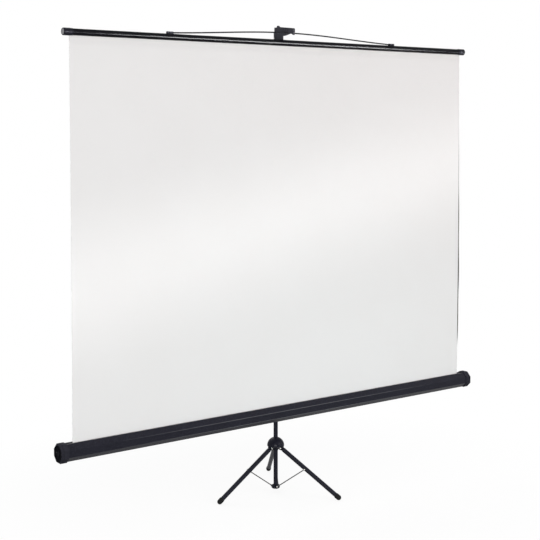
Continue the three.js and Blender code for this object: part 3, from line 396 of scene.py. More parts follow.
@dataclass(frozen=True)
class ShellPaint(SatinPaint):
    """Satin paint of the case's folded shell, with a painted highlight along the two folds of its front.
    """

    fleck: float = 0.004  # size of the paint's flecks
    fleck_start: float = 0.5
    fleck_rate: float = 5.0
    fleck_share: float = 0.7
    flecked: Colour = (0.032, 0.032, 0.044)
    # colour of the painted highlight along the folds
    fold_highlight: Colour = (0.12, 0.12, 0.13)
    highlight_reach: float = 0.0017  # how far from a fold the painted highlight reaches
    highlight_span: float = 0.82  # how far from the case's middle it reaches
    highlight_least: float = 0.55
    highlight_patches: float = 0.7
    half_side: float = math.pi / 8.0  # angle over half a side of the octagon

    def surface(self, tree: ShaderTree) -> dict[str, Any]:
        """Make a flecked paint with a painted highlight along its front folds, strongest in the middle of
        the case.

        Args:
            tree: The material's nodes.

        Returns:
            The sockets of the Principled shader, by name.
        """
        sockets = super().surface(tree)
        flecks = tree.noise(self.fleck, FINE_NOISE).above(self.fleck_start, self.fleck_rate)
        paint = tree.mix(flecks * self.fleck_share, sockets["Base Color"], self.flecked)
        low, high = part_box("case_shell")
        half_flat = (high.z - low.z) / 2.0 * math.tan(self.half_side)
        across, depth, height = tree.coordinates()
        middle = (1.0 - across * across / self.highlight_span**2).clamped()
        behind = depth - low.y
        above = height - (low.z + high.z) / 2.0
        patches = tree.noise(self.cloud, PLAIN_NOISE)
        # painted highlight along each front fold, patchy, strongest in the case's middle
        for fold in (half_flat, -half_flat):
            off = above - fold
            near = (1.0 - (behind * behind + off * off) / self.highlight_reach**2).clamped()
            highlight_share = near * middle * (self.highlight_least + patches * self.highlight_patches)
            paint = tree.mix(highlight_share.clamped(), paint, self.fold_highlight)
        sockets["Base Color"] = paint
        return sockets


@dataclass(frozen=True)
class MouldedPlastic(Finish):
    """Black moulding with a spark-eroded grain."""

    dark: Colour = (0.009, 0.009, 0.015)
    light: Colour = (0.017, 0.017, 0.026)
    gloss: float = 0.26
    shine: float = 0.055
    grain: float = 0.0009
    grain_depth: float = 0.00004
    grain_strength: float = 0.4
    grain_tone: float = 0.2
    grain_gloss: float = 0.06
    cloud: float = 0.025
    cloud_tone: float = 0.8
    cloud_gloss: float = 0.2

    def surface(self, tree: ShaderTree) -> dict[str, Any]:
        """Make a grained skin whose gloss varies with how the mould filled.

        Args:
            tree: The material's nodes.

        Returns:
            The sockets of the Principled shader, by name.
        """
        grain = tree.cells(self.grain)
        cloud = tree.noise(self.cloud, CLOUDY_NOISE)
        tone = cloud * self.cloud_tone + grain * self.grain_tone
        return {
            "Base Color": tree.mix(tone, self.dark, self.light),
            "Roughness": self.gloss + cloud.swing(self.cloud_gloss) + grain * self.grain_gloss,
            "Specular IOR Level": self.shine,
            "Normal": tree.bump(grain, self.grain_depth, self.grain_strength),
        }


@dataclass(frozen=True)
class CapPlastic(MouldedPlastic):
    """Moulding of the case's end caps, with painted shade that makes the ribbed outer face darker than
    the sides.
    """

    # painted shade: colour of the ribbed outer face, darker than the sides
    face: Colour = (0.007, 0.007, 0.010)
    shaded_face_radius: float = 0.0322
    shaded_face_edge: float = 0.001  # over which the face turns into the side

    def surface(self, tree: ShaderTree) -> dict[str, Any]:
        """Make the moulding with painted shade on its outer face.

        Args:
            tree: The material's nodes.

        Returns:
            The sockets of the Principled shader, by name.
        """
        sockets = super().surface(tree)
        low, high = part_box("case_cap_left")
        _, depth, height = tree.coordinates()
        behind = depth - (low.y + high.y) / 2.0
        above = height - (low.z + high.z) / 2.0
        # painted shade over the outer face, out to its edge
        inside = self.shaded_face_radius**2 - (behind * behind + above * above)
        share = (inside / (2.0 * self.shaded_face_radius * self.shaded_face_edge)).clamped()
        sockets["Base Color"] = tree.mix(share, sockets["Base Color"], self.face)
        return sockets


@dataclass(frozen=True)
class FootRubber(Finish):
    """Black rubber, greyed by dust where it stands on the floor."""

    dark: Colour = (0.010, 0.010, 0.011)
    dust: Colour = (0.075, 0.072, 0.068)
    dust_height: float = 0.009
    dust_least: float = 0.35
    dust_patches: float = 0.6
    pore: float = 0.0012
    pore_depth: float = 0.00012
    pore_strength: float = 0.6
    pore_dust: float = 0.05
    cloud: float = 0.012
    matt: float = 0.66
    cloud_matt: float = 0.2
    shine: float = 0.1

    def surface(self, tree: ShaderTree) -> dict[str, Any]:
        """Make a matt skin with fine pores and a dusty lower edge.

        Args:
            tree: The material's nodes.

        Returns:
            The sockets of the Principled shader, by name.
        """
        pore = tree.noise(self.pore, FINE_NOISE)
        cloud = tree.noise(self.cloud, FINE_NOISE)
        _, _, height = tree.coordinates()
        low_down = (1.0 - height / self.dust_height).clamped()
        dusty = low_down * (self.dust_least + cloud * self.dust_patches) + pore * self.pore_dust
        return {
            "Base Color": tree.mix(dusty.clamped(), self.dark, self.dust),
            "Roughness": self.matt + cloud * self.cloud_matt,
            "Specular IOR Level": self.shine,
            "Normal": tree.bump(pore, self.pore_depth, self.pore_strength),
        }


@dataclass(frozen=True)
class PlatedSteel(Finish):
    """Dull zinc plate with a faint spangle and a yellowish passivation."""

    bright: Colour = (0.64, 0.64, 0.63)
    tint: Colour = (0.47, 0.45, 0.40)
    gloss: float = 0.24
    spangle: float = 0.0022
    spangle_tint: float = 0.25
    spangle_gloss: float = 0.08
    cloud: float = 0.03
    cloud_tint: float = 0.9
    cloud_gloss: float = 0.2
    untinted: float = 0.1  # taken off the tint, so that some patches stay bright
    dent_depth: float = 0.0003
    dent_strength: float = 0.15

    def surface(self, tree: ShaderTree) -> dict[str, Any]:
        """Make a metal whose tint and gloss change from patch to patch.

        Args:
            tree: The material's nodes.

        Returns:
            The sockets of the Principled shader, by name.
        """
        spangle = tree.cells(self.spangle)
        cloud = tree.noise(self.cloud, CLOUDY_NOISE)
        tinted = cloud * self.cloud_tint + spangle * self.spangle_tint - self.untinted
        return {
            "Base Color": tree.mix(tinted.clamped(), self.bright, self.tint),
            "Metallic": 1.0,
            "Roughness": self.gloss + cloud * self.cloud_gloss + spangle * self.spangle_gloss,
            "Normal": tree.bump(cloud, self.dent_depth, self.dent_strength),
        }


@dataclass(frozen=True)
class SpringWire(Finish):
    """Oil-blackened spring wire, drawn along its length."""

    dark: Colour = (0.014, 0.012, 0.011)
    bare: Colour = (0.04, 0.035, 0.031)
    bare_start: float = 0.5  # noise from which a draw mark shows the bare wire
    bare_rate: float = 3.0
    bare_metal: float = 0.3
    bare_gloss: float = 0.14
    draw: float = 0.0008
    draw_stretch: Colour = (0.02, 1.0, 1.0)
    draw_depth: float = 0.00008
    draw_strength: float = 0.4
    cloud: float = 0.05
    cloud_gloss: float = 0.1
    gloss: float = 0.46
    shine: float = 0.04

    def surface(self, tree: ShaderTree) -> dict[str, Any]:
        """Make a dark metal with lengthwise draw marks that show the bare wire.

        Args:
            tree: The material's nodes.

        Returns:
            The sockets of the Principled shader, by name.
        """
        draw = tree.noise(self.draw, PLAIN_NOISE, self.draw_stretch)
        cloud = tree.noise(self.cloud, FINE_NOISE)
        bare = draw.above(self.bare_start, self.bare_rate) * cloud
        return {
            "Base Color": tree.mix(bare, self.dark, self.bare),
            "Metallic": bare * self.bare_metal,
            "Roughness": self.gloss - bare * self.bare_gloss + cloud.swing(self.cloud_gloss),
            "Specular IOR Level": self.shine,
            "Normal": tree.bump(draw, self.draw_depth, self.draw_strength),
        }


@dataclass(frozen=True)
class NaturalNylon(Finish):
    """Natural nylon of the bushes and the washer."""

    pale: Colour = (0.66, 0.65, 0.58)
    oiled: Colour = (0.48, 0.45, 0.36)
    oil_start: float = 0.4  # cloud from which the nylon is stained
    oil_rate: float = 2.0
    gloss: float = 0.5
    cloud: float = 0.006
    cloud_gloss: float = 0.2
    grain: float = 0.0006
    grain_depth: float = 0.00004
    grain_strength: float = 0.5

    def surface(self, tree: ShaderTree) -> dict[str, Any]:
        """Make a waxy skin, stained in patches by oil.

        Args:
            tree: The material's nodes.

        Returns:
            The sockets of the Principled shader, by name.
        """
        cloud = tree.noise(self.cloud, CLOUDY_NOISE)
        grain = tree.noise(self.grain, PLAIN_NOISE)
        return {
            "Base Color": tree.mix(cloud.above(self.oil_start, self.oil_rate), self.pale, self.oiled),
            "Roughness": self.gloss + cloud.swing(self.cloud_gloss),
            "Normal": tree.bump(grain, self.grain_depth, self.grain_strength),
        }


@dataclass(frozen=True)
class WovenCloth(Finish):
    """One side of the screen's cloth: a matt coat over a fine plain weave."""

    shade: Colour = (0.80, 0.79, 0.785)
    pale: Colour = (0.83, 0.825, 0.825)
    pitch: float = 0.0007  # of the weave
    matt: float = 0.93
    shine: float = 0.12
    coat: float = 0.0022  # size of the coat's mottle
    coat_tone: float = 0.2
    coat_matt: float = 0.06
    coat_relief: float = 0.4
    weave_relief: float = 0.6
    relief_depth: float = 0.00005
    relief_strength: float = 0.5
    cloud: float = 0.25
    cloud_tone: float = 0.8

    def surface(self, tree: ShaderTree) -> dict[str, Any]:
        """Make the coat's mottle and the weave that shows through it.

        Args:
            tree: The material's nodes.

        Returns:
            The sockets of the Principled shader, by name.
        """
        across, _, height = tree.coordinates()
        turns = 2.0 * math.pi / self.pitch
        weave = (across * turns).sine() * (height * turns).sine() * 0.5 + 0.5
        coat = tree.noise(self.coat, FINE_NOISE)
        cloud = tree.noise(self.cloud, FINE_NOISE)
        tone = cloud * self.cloud_tone + coat * self.coat_tone
        relief = weave * self.weave_relief + coat * self.coat_relief
        return {
            "Base Color": tree.mix(tone, self.shade, self.pale),
            "Roughness": self.matt + coat.swing(self.coat_matt),
            "Specular IOR Level": self.shine,
            "Normal": tree.bump(relief, self.relief_depth, self.relief_strength),
        }


@dataclass(frozen=True)
class StudioWhite(Finish):
    """White studio paper of the floor, bright to the camera and to reflections."""

    paper: Colour = (0.95, 0.95, 0.95)
    bounce: Colour = (0.2, 0.2, 0.2)  # paper to the light that it throws back at the object
    glow: float = 0.88  # share of plain white under the object
    reach: float = 1.5  # distance at which the paper is plain white

    def material(self) -> bpy.types.Material:
        """Make a paper that keeps a soft shadow and is otherwise white.

        Returns:
            The material.
        """
        made = bpy.data.materials.new(self.name)
        made.use_nodes = True
        tree = ShaderTree(made.node_tree)
        seen = tree.seen_ray()
        shade = tree.mix(seen, self.bounce, self.paper)
        paper = tree.node("ShaderNodeBsdfDiffuse", {}, {"Color": shade})
        light = tree.node("ShaderNodeEmission", {}, {"Color": WHITE, "Strength": 1.0})
        across, along, _ = tree.coordinates()
        away = ((across * across + along * along) / self.reach**2).clamped()
        white = seen * (self.glow + (1.0 - self.glow) * away)
        both = tree.node("ShaderNodeMixShader", {}, {0: white, 1: paper, 2: light})
        tree.node("ShaderNodeOutputMaterial", {}, {"Surface": both})
        return made


UPRIGHT_PAINT = SatinPaint("satin_paint_upright", Axis.Z)
SHELL_PAINT = ShellPaint(
    "satin_paint_shell",
    Axis.X,
    dark=(0.012, 0.012, 0.018),
    light=(0.019, 0.019, 0.028),
    shine=0.07,
)
BATTEN_PAINT = SatinPaint(
    "gloss_paint_batten",
    Axis.X,
    dark=(0.004, 0.004, 0.006),
    light=(0.008, 0.008, 0.011),
    gloss=0.18,
    shine=0.035,
    peel_depth=0.00001,
    wear=0.05,
)
BLACK_MOULDING = MouldedPlastic("grained_moulding")
CAP_MOULDING = CapPlastic(
    "cap_moulding", (0.021, 0.021, 0.028), (0.032, 0.032, 0.042), gloss=0.62, shine=0.02
)
HEAD_MOULDING = MouldedPlastic(
    "head_moulding", (0.049, 0.048, 0.058), (0.07, 0.069, 0.082), gloss=0.5, shine=0.025
)
SLEEVE_VINYL = MouldedPlastic(
    "sleeve_vinyl", (0.006, 0.006, 0.008), (0.011, 0.011, 0.014), gloss=0.55, shine=0.02
)
FOOT_RUBBER = FootRubber("foot_rubber")
ZINC_PLATE = PlatedSteel("zinc_plate")
BRACE_PLATE = PlatedSteel("brace_plate", (0.13, 0.13, 0.13), (0.09, 0.087, 0.08))
BLACK_SCREW = PlatedSteel("black_screw", (0.03, 0.03, 0.033), (0.02, 0.02, 0.02))
SPRING_WIRE = SpringWire("spring_wire")
NYLON = NaturalNylon("natural_nylon")
WHITE_COAT = WovenCloth("white_coat")
BLACK_COAT = WovenCloth("black_coat", (0.009, 0.009, 0.010), (0.027, 0.027, 0.029), matt=0.82)
GREY_DISC = PlatedSteel("grey_disc", (0.25, 0.25, 0.26), (0.19, 0.19, 0.20))


class Workshop:
    """Makes meshes from rings of points and puts them into the scene."""

    @staticmethod
    def loft(rings: Sequence[Ring], closed: bool = False) -> bmesh.types.BMesh:
        """Skin a row of rings with the same number of points.

        Args:
            rings: The rings, from one end to the other.
            closed: True where the last ring joins the first one, as in a tube's wall.

        Returns:
            The skinned mesh, capped at both ends unless it is closed.
        """
        mesh = bmesh.new()
        rows = [[mesh.verts.new(point) for point in ring] for ring in rings]
        pairs = list(zip(rows, rows[1:]))
        if closed:
            pairs.append((rows[-1], rows[0]))
        for low, high in pairs:
            for k, vertex in enumerate(low):
                following = (k + 1) % len(low)
                mesh.faces.new((vertex, low[following], high[following], high[k]))
        if not closed:
            mesh.faces.new(list(reversed(rows[0])))
            mesh.faces.new(rows[-1])
        bmesh.ops.recalc_face_normals(mesh, faces=mesh.faces)
        return mesh

    @staticmethod
    def ring(height: float, radii: Sequence[float]) -> Ring:
        """Return a ring round Z.

        Args:
            height: Z of the ring.
            radii: Radius of each of its points, at equal steps of angle.

        Returns:
            The ring's points.
        """
        step = 2.0 * math.pi / len(radii)
        return [
            Vector((radius * math.cos(k * step), radius * math.sin(k * step), height))
            for k, radius in enumerate(radii)
        ]

    @staticmethod
    def add(
        name: str, mesh: bmesh.types.BMesh, finish: Finish, smooth: float = 35.0
    ) -> bpy.types.Object:
        """Put a mesh into the scene as a piece with one finish.

        Args:
            name: The piece's name.
            mesh: Its mesh, which is used up.
            finish: Its finish.
            smooth: Edges flatter than this angle, in degrees, are shaded smooth.

        Returns:
            The new object, at the origin.
        """
        data = bpy.data.meshes.new(name)
        mesh.to_mesh(data)
        mesh.free()
        data.materials.append(finish.material())
        data.shade_smooth()
        data.set_sharp_from_angle(angle=math.radians(smooth))
        piece = bpy.data.objects.new(name, data)
        bpy.context.scene.collection.objects.link(piece)
        return piece


@dataclass(frozen=True)
class ScreenCloth:
    """The cloth between the roller and the batten: white in front, black behind."""

    lip: float = 0.0065  # black strip that stands past the white coat on the right
    lip_low: float = 0.53
    lip_high: float = 1.59
    lip_lean: float = 0.55  # below 1, the lip is widest below its middle
    lip_root: float = 0.0002  # strip at the white coat's right edge that the lip begins on
    lip_even: float = 0.85
    lip_ragged: float = 0.15
    lip_waves: float = 23.0  # radians per metre
    hem: float = 0.021  # doubled cloth under the batten
    hem_step: float = 0.0006
    hem_thick: float = 0.0009
    sway: float = 0.0016  # how far the cloth bellies between its edges
    sway_waves: float = 2.4  # radians per metre
    sway_phase: float = 1.1
    curl: float = 0.003  # how far its sides stand forward
    curl_width: float = 0.05
    columns: int = 96
    rows: int = 90
    smooth: float = 60.0
    front_facing: float = -0.5  # normal's Y below which a face is on the white side
    drop: float = 0.65  # travel of the extension that winds cloth in

    def build(self) -> bpy.types.Object:
        """Make the cloth, give its faces the white and the black coat, and attach it to the case.

        Returns:
            The cloth.
        """
        low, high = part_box("screen_sheet")
        piece = Workshop.add("screen_cloth", self._mesh(low, high), WHITE_COAT, self.smooth)
        piece.data.materials.append(BLACK_COAT.material())
        for polygon in piece.data.polygons:
            polygon.material_index = self._side(polygon, high)
        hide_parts("screen_sheet")
        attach(piece, "case")
        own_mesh(piece)
        return piece

    def _mesh(self, low: Vector, high: Vector) -> bmesh.types.BMesh:
        """Make both faces of the cloth and the edges between them.

        Args:
            low: Lowest corner of the cloth's space.
            high: Highest corner of it.

        Returns:
            The closed mesh.
        """
        middle = (low.y + high.y) / 2.0
        mesh = bmesh.new()
        front: list[list[bmesh.types.BMVert]] = []
        back: list[list[bmesh.types.BMVert]] = []
        for side, grid in ((-1, front), (1, back)):
            for z in self._heights(low, high):
                off = side * self._thick(z, low, high) / 2.0
                grid.append([
                    mesh.verts.new((x, middle + self._depth(x, z, low, high) + off, z))
                    for x in self._stations(z, low, high)
                ])
        for grid in (front, back):
            for below, above in zip(grid, grid[1:]):
                for k in range(len(below) - 1):
                    mesh.faces.new((below[k], below[k + 1], above[k + 1], above[k]))
        left = [(row[0], other[0]) for row, other in zip(front, back)]
        right = [(row[-1], other[-1]) for row, other in zip(front, back)]
        bottom, top = list(zip(front[0], back[0])), list(zip(front[-1], back[-1]))
        for edge in (left, right, bottom, top):
            for (a, b), (c, d) in zip(edge, edge[1:]):
                mesh.faces.new((a, b, d, c))
        bmesh.ops.recalc_face_normals(mesh, faces=mesh.faces)
        return mesh

    def _heights(self, low: Vector, high: Vector) -> list[float]:
        """Set the heights of the mesh's rows, with the hem's lower edge as a step.

        Args:
            low: Lowest corner of the cloth's space.
            high: Highest corner of it.

        Returns:
            Z of each row.
        """
        hem = high.z - self.hem
        body = [low.z + (hem - low.z) * k / self.rows for k in range(self.rows + 1)]
        return [*body, hem + self.hem_step, (hem + high.z) / 2.0, high.z]

    def _stations(self, z: float, low: Vector, high: Vector) -> list[float]:
        """Set the mesh's columns in one row, the last two round the black lip.

        Args:
            z: Height of the row.
            low: Lowest corner of the cloth's space.
            high: Highest corner of it.

        Returns:
            X of each column.
        """
        edge = high.x - self.lip_root
        body = [low.x + (edge - low.x) * k / self.columns for k in range(self.columns + 1)]
        share = (z - self.lip_low) / (self.lip_high - self.lip_low)
        swell = math.sin(math.pi * share**self.lip_lean) if 0.0 < share < 1.0 else 0.0
        ragged = self.lip_even + self.lip_ragged * math.sin(self.lip_waves * z)
        return [*body, high.x + self.lip * swell * ragged]

    def _depth(self, x: float, z: float, low: Vector, high: Vector) -> float:
        """Work out how far the cloth stands from its flat plane.

        Args:
            x: Place along the screen.
            z: Height.
            low: Lowest corner of the cloth's space.
            high: Highest corner of it.

        Returns:
            The distance towards +Y.
        """
        across = abs(x) / high.x
        up = (z - low.z) / (high.z - low.z)
        bow = math.sin(math.pi * min(1.0, max(0.0, up)))
        wave = math.sin(self.sway_waves * x + self.sway_phase)
        belly = self.sway * bow * math.cos(0.5 * math.pi * min(1.0, across)) * wave
        side = max(0.0, 1.0 - (high.x - abs(x)) / self.curl_width)
        return belly - self.curl * bow * side * side

    def _thick(self, z: float, low: Vector, high: Vector) -> float:
        """Return the cloth's thickness at a height: double in the hem."""
        return self.hem_thick if z > high.z - self.hem else high.y - low.y

    def _side(self, polygon: bpy.types.MeshPolygon, high: Vector) -> int:
        """Return the material of a face: 0 for the white front, 1 for the back, edges and lip."""
        front = polygon.normal.y < self.front_facing
        return 0 if front and polygon.center.x < high.x - self.lip_root else 1


@dataclass(frozen=True)
class ClothTurns:
    """The turns of cloth left on the roller, wound as a spiral."""

    turns: float = 1.9
    steps: int = 40  # in each turn
    gap: float = 0.00002

    def build(self) -> bpy.types.Object:
        """Make the wound cloth.

        Returns:
            The spiral, which turns with the roller.
        """
        low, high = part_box("fabric_roll")
        axis_y = (low.y + high.y) / 2.0
        axis_z = (low.z + high.z) / 2.0
        outer = (high.z - low.z) / 2.0
        inner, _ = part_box("roller_tube")
        start = axis_z - inner.z + self.gap
        count = int(self.turns * self.steps)
        thick = (outer - start) / (self.turns + 1.0)
        rings = []
        for k in range(count + 1):
            angle = 2.0 * math.pi * k / self.steps
            base = start + thick * k / self.steps
            near, far = base + self.gap, base + thick - self.gap
            rings.append([
                Vector((x, axis_y - r * math.cos(angle), axis_z + r * math.sin(angle)))
                for x, r in ((low.x, near), (low.x, far), (high.x, far), (high.x, near))
            ])
        piece = Workshop.add("cloth_turns", Workshop.loft(rings), BLACK_COAT)
        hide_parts("fabric_roll")
        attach(piece, "roller")
        return piece


@dataclass(frozen=True)
class PanScrew:
    """Cross-recessed pan-head screw, seen from its head."""

    head: float = 0.0068
    height: float = 0.0021
    recess: float = 0.0042
    depth: float = 0.0013
    sunk: float = 0.0015  # shank that reaches below the surface
    points: int = 32
    shank: float = 0.55  # over the head, as the next three are over head or recess
    crown: tuple[tuple[float, float], ...] = ((0.45, 1.0), (0.8, 0.86), (0.97, 0.66))
    recess_floor: float = 0.55
    cross_core: float = 0.34
    cross_arm: float = 0.66
    cross_corner: float = 0.8  # below 1, the cross has wider arms

    def build(self, name: str, place: Vector, axis: Axis, finish: Finish) -> bpy.types.Object:
        """Make one screw of the case.

        Args:
            name: The piece's name.
            place: Middle of the head's seat.
            axis: Where the head points.
            finish: Its finish.

        Returns:
            The screw.
        """
        radius = self.head / 2.0
        shank = self.shank * radius
        profile = [(-self.sunk, shank), (0.0, shank), (0.0, radius)]
        profile += [(up * self.height, share * radius) for up, share in self.crown]
        cross = [self._recess(2.0 * math.pi * k / self.points) for k in range(self.points)]
        rings = [Workshop.ring(z, [r] * self.points) for z, r in profile]
        rings.append(Workshop.ring(self.height, cross))
        rings.append(Workshop.ring(self.height - self.depth, [self.recess_floor * r for r in cross]))
        mesh = Workshop.loft(rings)
        mesh.transform(Matrix.Translation(place) @ axis.turn())
        piece = Workshop.add(name, mesh, finish)
        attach(piece, "case")
        return piece

    def _recess(self, angle: float) -> float:
        """Return the radius of the cross recess at an angle in radians."""
        arm = max(0.0, math.cos(4.0 * angle)) ** self.cross_corner
        return self.recess / 2.0 * (self.cross_core + self.cross_arm * arm)


@dataclass(frozen=True)
class DomeRivet:
    """Blind rivet or button with a domed head."""

    head: float = 0.006
    height: float = 0.0016
    dimple: float = 0.0016
    sunk: float = 0.0008
    points: int = 28
    neck: float = 0.7  # over the head
    rim: float = 0.25  # straight edge of the head, over its height
    dome_steps: int = 6
    dimple_floor: float = 0.75  # over the head's height
    dimple_taper: float = 0.7

    def build(
        self, name: str, place: Vector, axis: Axis, body: str, finish: Finish, slot: str
    ) -> bpy.types.Object:
        """Make one rivet.

        Args:
            name: The piece's name.
            place: Middle of the head's seat.
            axis: Where the head points.
            body: Body that it rides on.
            finish: Its finish.
            slot: Not used.

        Returns:
            The rivet.
        """
        radius = self.head / 2.0
        neck = self.neck * radius
        profile = [(-self.sunk, neck), (0.0, neck), (0.0, radius), (self.rim * self.height, radius)]
        for k in range(1, self.dome_steps):
            angle = 0.5 * math.pi * k / self.dome_steps
            rise = self.rim + (1.0 - self.rim) * math.sin(angle)
            profile.append((self.height * rise, radius * math.cos(angle)))
        dimple = self.dimple / 2.0
        profile.append((self.height, dimple))
        profile.append((self.dimple_floor * self.height, self.dimple_taper * dimple))
        rings = [Workshop.ring(z, [r] * self.points) for z, r in profile]
        mesh = Workshop.loft(rings)
        mesh.transform(Matrix.Translation(place) @ axis.turn())
        piece = Workshop.add(name, mesh, finish)
        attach(piece, body)
        return piece


@dataclass(frozen=True)
class CaseFasteners:
    """Screws of the end caps and of the bracket behind the case."""

    cap_screw: PanScrew = PanScrew()
    bracket_screw: PanScrew = PanScrew(head=0.0085, height=0.0026, recess=0.005, depth=0.0015)
    cap_spread: float = 0.0215  # cap screws from the case's axis
    cap_floor: float = 0.005  # recess of the cap's face
    bracket_spread: float = 0.036
    bracket_plate: float = 0.0033  # the bracket's face behind the case

    def build(self) -> list[bpy.types.Object]:
        """Make the screws.

        Returns:
            All the screws of the case.
        """
        low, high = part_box("case_shell")
        axis = (low + high) / 2.0
        made = []
        for cap, direction in (("case_cap_left", Axis.MINUS_X), ("case_cap_right", Axis.X)):
            cap_low, cap_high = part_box(cap)
            side = direction.value[0]
            face = (cap_low.x if side < 0 else cap_high.x) - side * self.cap_floor
            for number, sign in enumerate((-1.0, 1.0), 1):
                place = Vector((face, axis.y + sign * self.cap_spread, axis.z))
                made.append(self.cap_screw.build(f"{cap}_screw_{number}", place, direction, BLACK_SCREW))
        plate = high.y + self.bracket_plate
        for number, sign in enumerate((-1.0, 1.0), 1):
            place = Vector((sign * self.bracket_spread, plate, axis.z))
            made.append(self.bracket_screw.build(f"bracket_screw_{number}", place, Axis.Y, ZINC_PLATE))
        return made


@dataclass(frozen=True)
class BattenTrim:
    """Grey plugs in the ends of the batten and the rivets of its clips."""

    plug: float = 0.0234
    plug_thick: float = 0.0034
    plug_edge: float = 0.0006
    plug_floor: float = 0.004  # recess of the cap's end
    plug_points: int = 48
    plug_neck: float = 0.5  # over the plug, as the next two are
    plug_ring: float = 0.46
    plug_middle: float = 0.1
    clip_rivet: DomeRivet = DomeRivet(head=0.004, height=0.0011, dimple=0.0011)
    clip_setback: float = 0.003

    def build(self) -> list[bpy.types.Object]:
        """Make the plugs and rivets.

        Returns:
            The pieces on the batten.
        """
        made = []
        for cap, direction in (("batten_cap_left", Axis.MINUS_X), ("batten_cap_right", Axis.X)):
            low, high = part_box(cap)
            face = low.x + self.plug_floor if direction is Axis.MINUS_X else high.x - self.plug_floor
            place = Vector((face, (low.y + high.y) / 2.0, (low.z + high.z) / 2.0))
            made.append(self._plug(f"{cap}_plug", place, direction))
        for clip in ("bail_clip_left", "bail_clip_right"):
            low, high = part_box(clip)
            side = math.copysign(1.0, low.x + high.x)
            outer = high.x if side > 0 else low.x
            place = Vector((outer - side * self.clip_setback, (low.y + high.y) / 2.0, high.z))
            made.append(self.clip_rivet.build(
                f"{clip}_rivet", place, Axis.Z, "extension", ZINC_PLATE, "plated_steel"
            ))
        return made

    def _plug(self, name: str, place: Vector, axis: Axis) -> bpy.types.Object:
        """Make the plug in one end of the batten, a flat button with a ring round its middle.

        Args:
            name: The piece's name.
            place: Middle of the recess's floor.
            axis: Where the plug's face points.

        Returns:
            The plug.
        """
        radius = self.plug / 2.0
        neck, ring = self.plug_neck * radius, self.plug_ring * radius
        top = self.plug_thick
        edge = self.plug_edge
        profile = [
            (-edge, neck),
            (0.0, neck),
            (0.0, radius),
            (top - edge, radius),
            (top, radius - edge),
            (top, ring),
            (top - edge / 2.0, ring - edge / 2.0),
            (top - edge / 2.0, self.plug_middle * radius),
        ]
        rings = [Workshop.ring(z, [r] * self.plug_points) for z, r in profile]
        mesh = Workshop.loft(rings)
        mesh.transform(Matrix.Translation(place) @ axis.turn())
        piece = Workshop.add(name, mesh, GREY_DISC)
        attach(piece, "extension")
        return piece


@dataclass(frozen=True)
class BailSleeves:
    """Black vinyl sleeves on the arms of the bail, between the mast head and the clips."""

    wall: float = 0.0006
    bevel: float = 0.0003  # round the ends of a sleeve
    head_gap: float = 0.004  # bare wire beside the mast head
    clip_gap: float = 0.005  # bare wire beside a clip
    spans: int = 40  # straight spans of the wire's mesh
    points: int = 16

    def build(self, wire: bpy.types.Object) -> list[bpy.types.Object]:
        """Make both sleeves.

        Args:
            wire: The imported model's bail wire.

        Returns:
            The left and the right sleeve.
        """
        path = self._path(wire)
        low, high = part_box("bail_wire")
        radius = (high.y - low.y) / 2.0
        head_low, head_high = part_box("mast_head")
        _, left_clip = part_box("bail_clip_left")
        right_clip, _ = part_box("bail_clip_right")
        made = []
        for name, start, end in (
            ("left", left_clip.x + self.clip_gap, head_low.x - self.head_gap),
            ("right", head_high.x + self.head_gap, right_clip.x - self.clip_gap),
        ):
            between = [point for point in path if start < point.x < end]
            line = [self._at(path, start), *between, self._at(path, end)]
            piece = Workshop.add(f"bail_sleeve_{name}", self._tube(line, radius), SLEEVE_VINYL)
            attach(piece, "extension")
            made.append(piece)
        return made

    def _path(self, wire: bpy.types.Object) -> list[Vector]:
        """Follow the wire's middle line.

        Args:
            wire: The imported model's bail wire.

        Returns:
            The middle of each ring of its mesh, from left to right.
        """
        low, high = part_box("bail_wire")
        step = (high.x - low.x) / self.spans
        rings: dict[int, list[Vector]] = {}
        for vertex in wire.data.vertices:
            place = wire.matrix_world @ vertex.co
            rings.setdefault(round((place.x - low.x) / step), []).append(place)
        middles = []
        for _, ring in sorted(rings.items()):
            spans = [[point[axis] for point in ring] for axis in range(3)]
            middles.append(Vector([(min(span) + max(span)) / 2.0 for span in spans]))
        return middles

    @staticmethod
    def _at(path: Sequence[Vector], x: float) -> Vector:
        """Find where a path passes X.

        Args:
            path: The path's points, from left to right.
            x: The place along the screen.

        Returns:
            The point on the path.
        """
        before = [point for point in path if point.x <= x][-1]
        after = [point for point in path if point.x > x][0]
        return before.lerp(after, (x - before.x) / (after.x - before.x))

    def _tube(self, line: Sequence[Vector], bore: float) -> bmesh.types.BMesh:
        """Make one sleeve.

        Args:
            line: Points of the wire's middle line that it covers.
            bore: Radius of the wire.

        Returns:
            The sleeve's closed mesh.
        """
        outer = bore + self.wall
        first, last = line[0], line[-1]
        inset = Vector((self.bevel, 0.0, 0.0))
        shells = [(first, outer - self.bevel), (first + inset, outer)]
        shells += [(point, outer) for point in line[1:-1]]
        shells += [(last - inset, outer), (last, outer - self.bevel)]
        shells += [(point, bore) for point in reversed(line)]
        step = 2.0 * math.pi / self.points
        rings = [
            [
                point + Vector((0.0, radius * math.cos(k * step), radius * math.sin(k * step)))
                for k in range(self.points)
            ]
            for point, radius in shells
        ]
        return Workshop.loft(rings, closed=True)


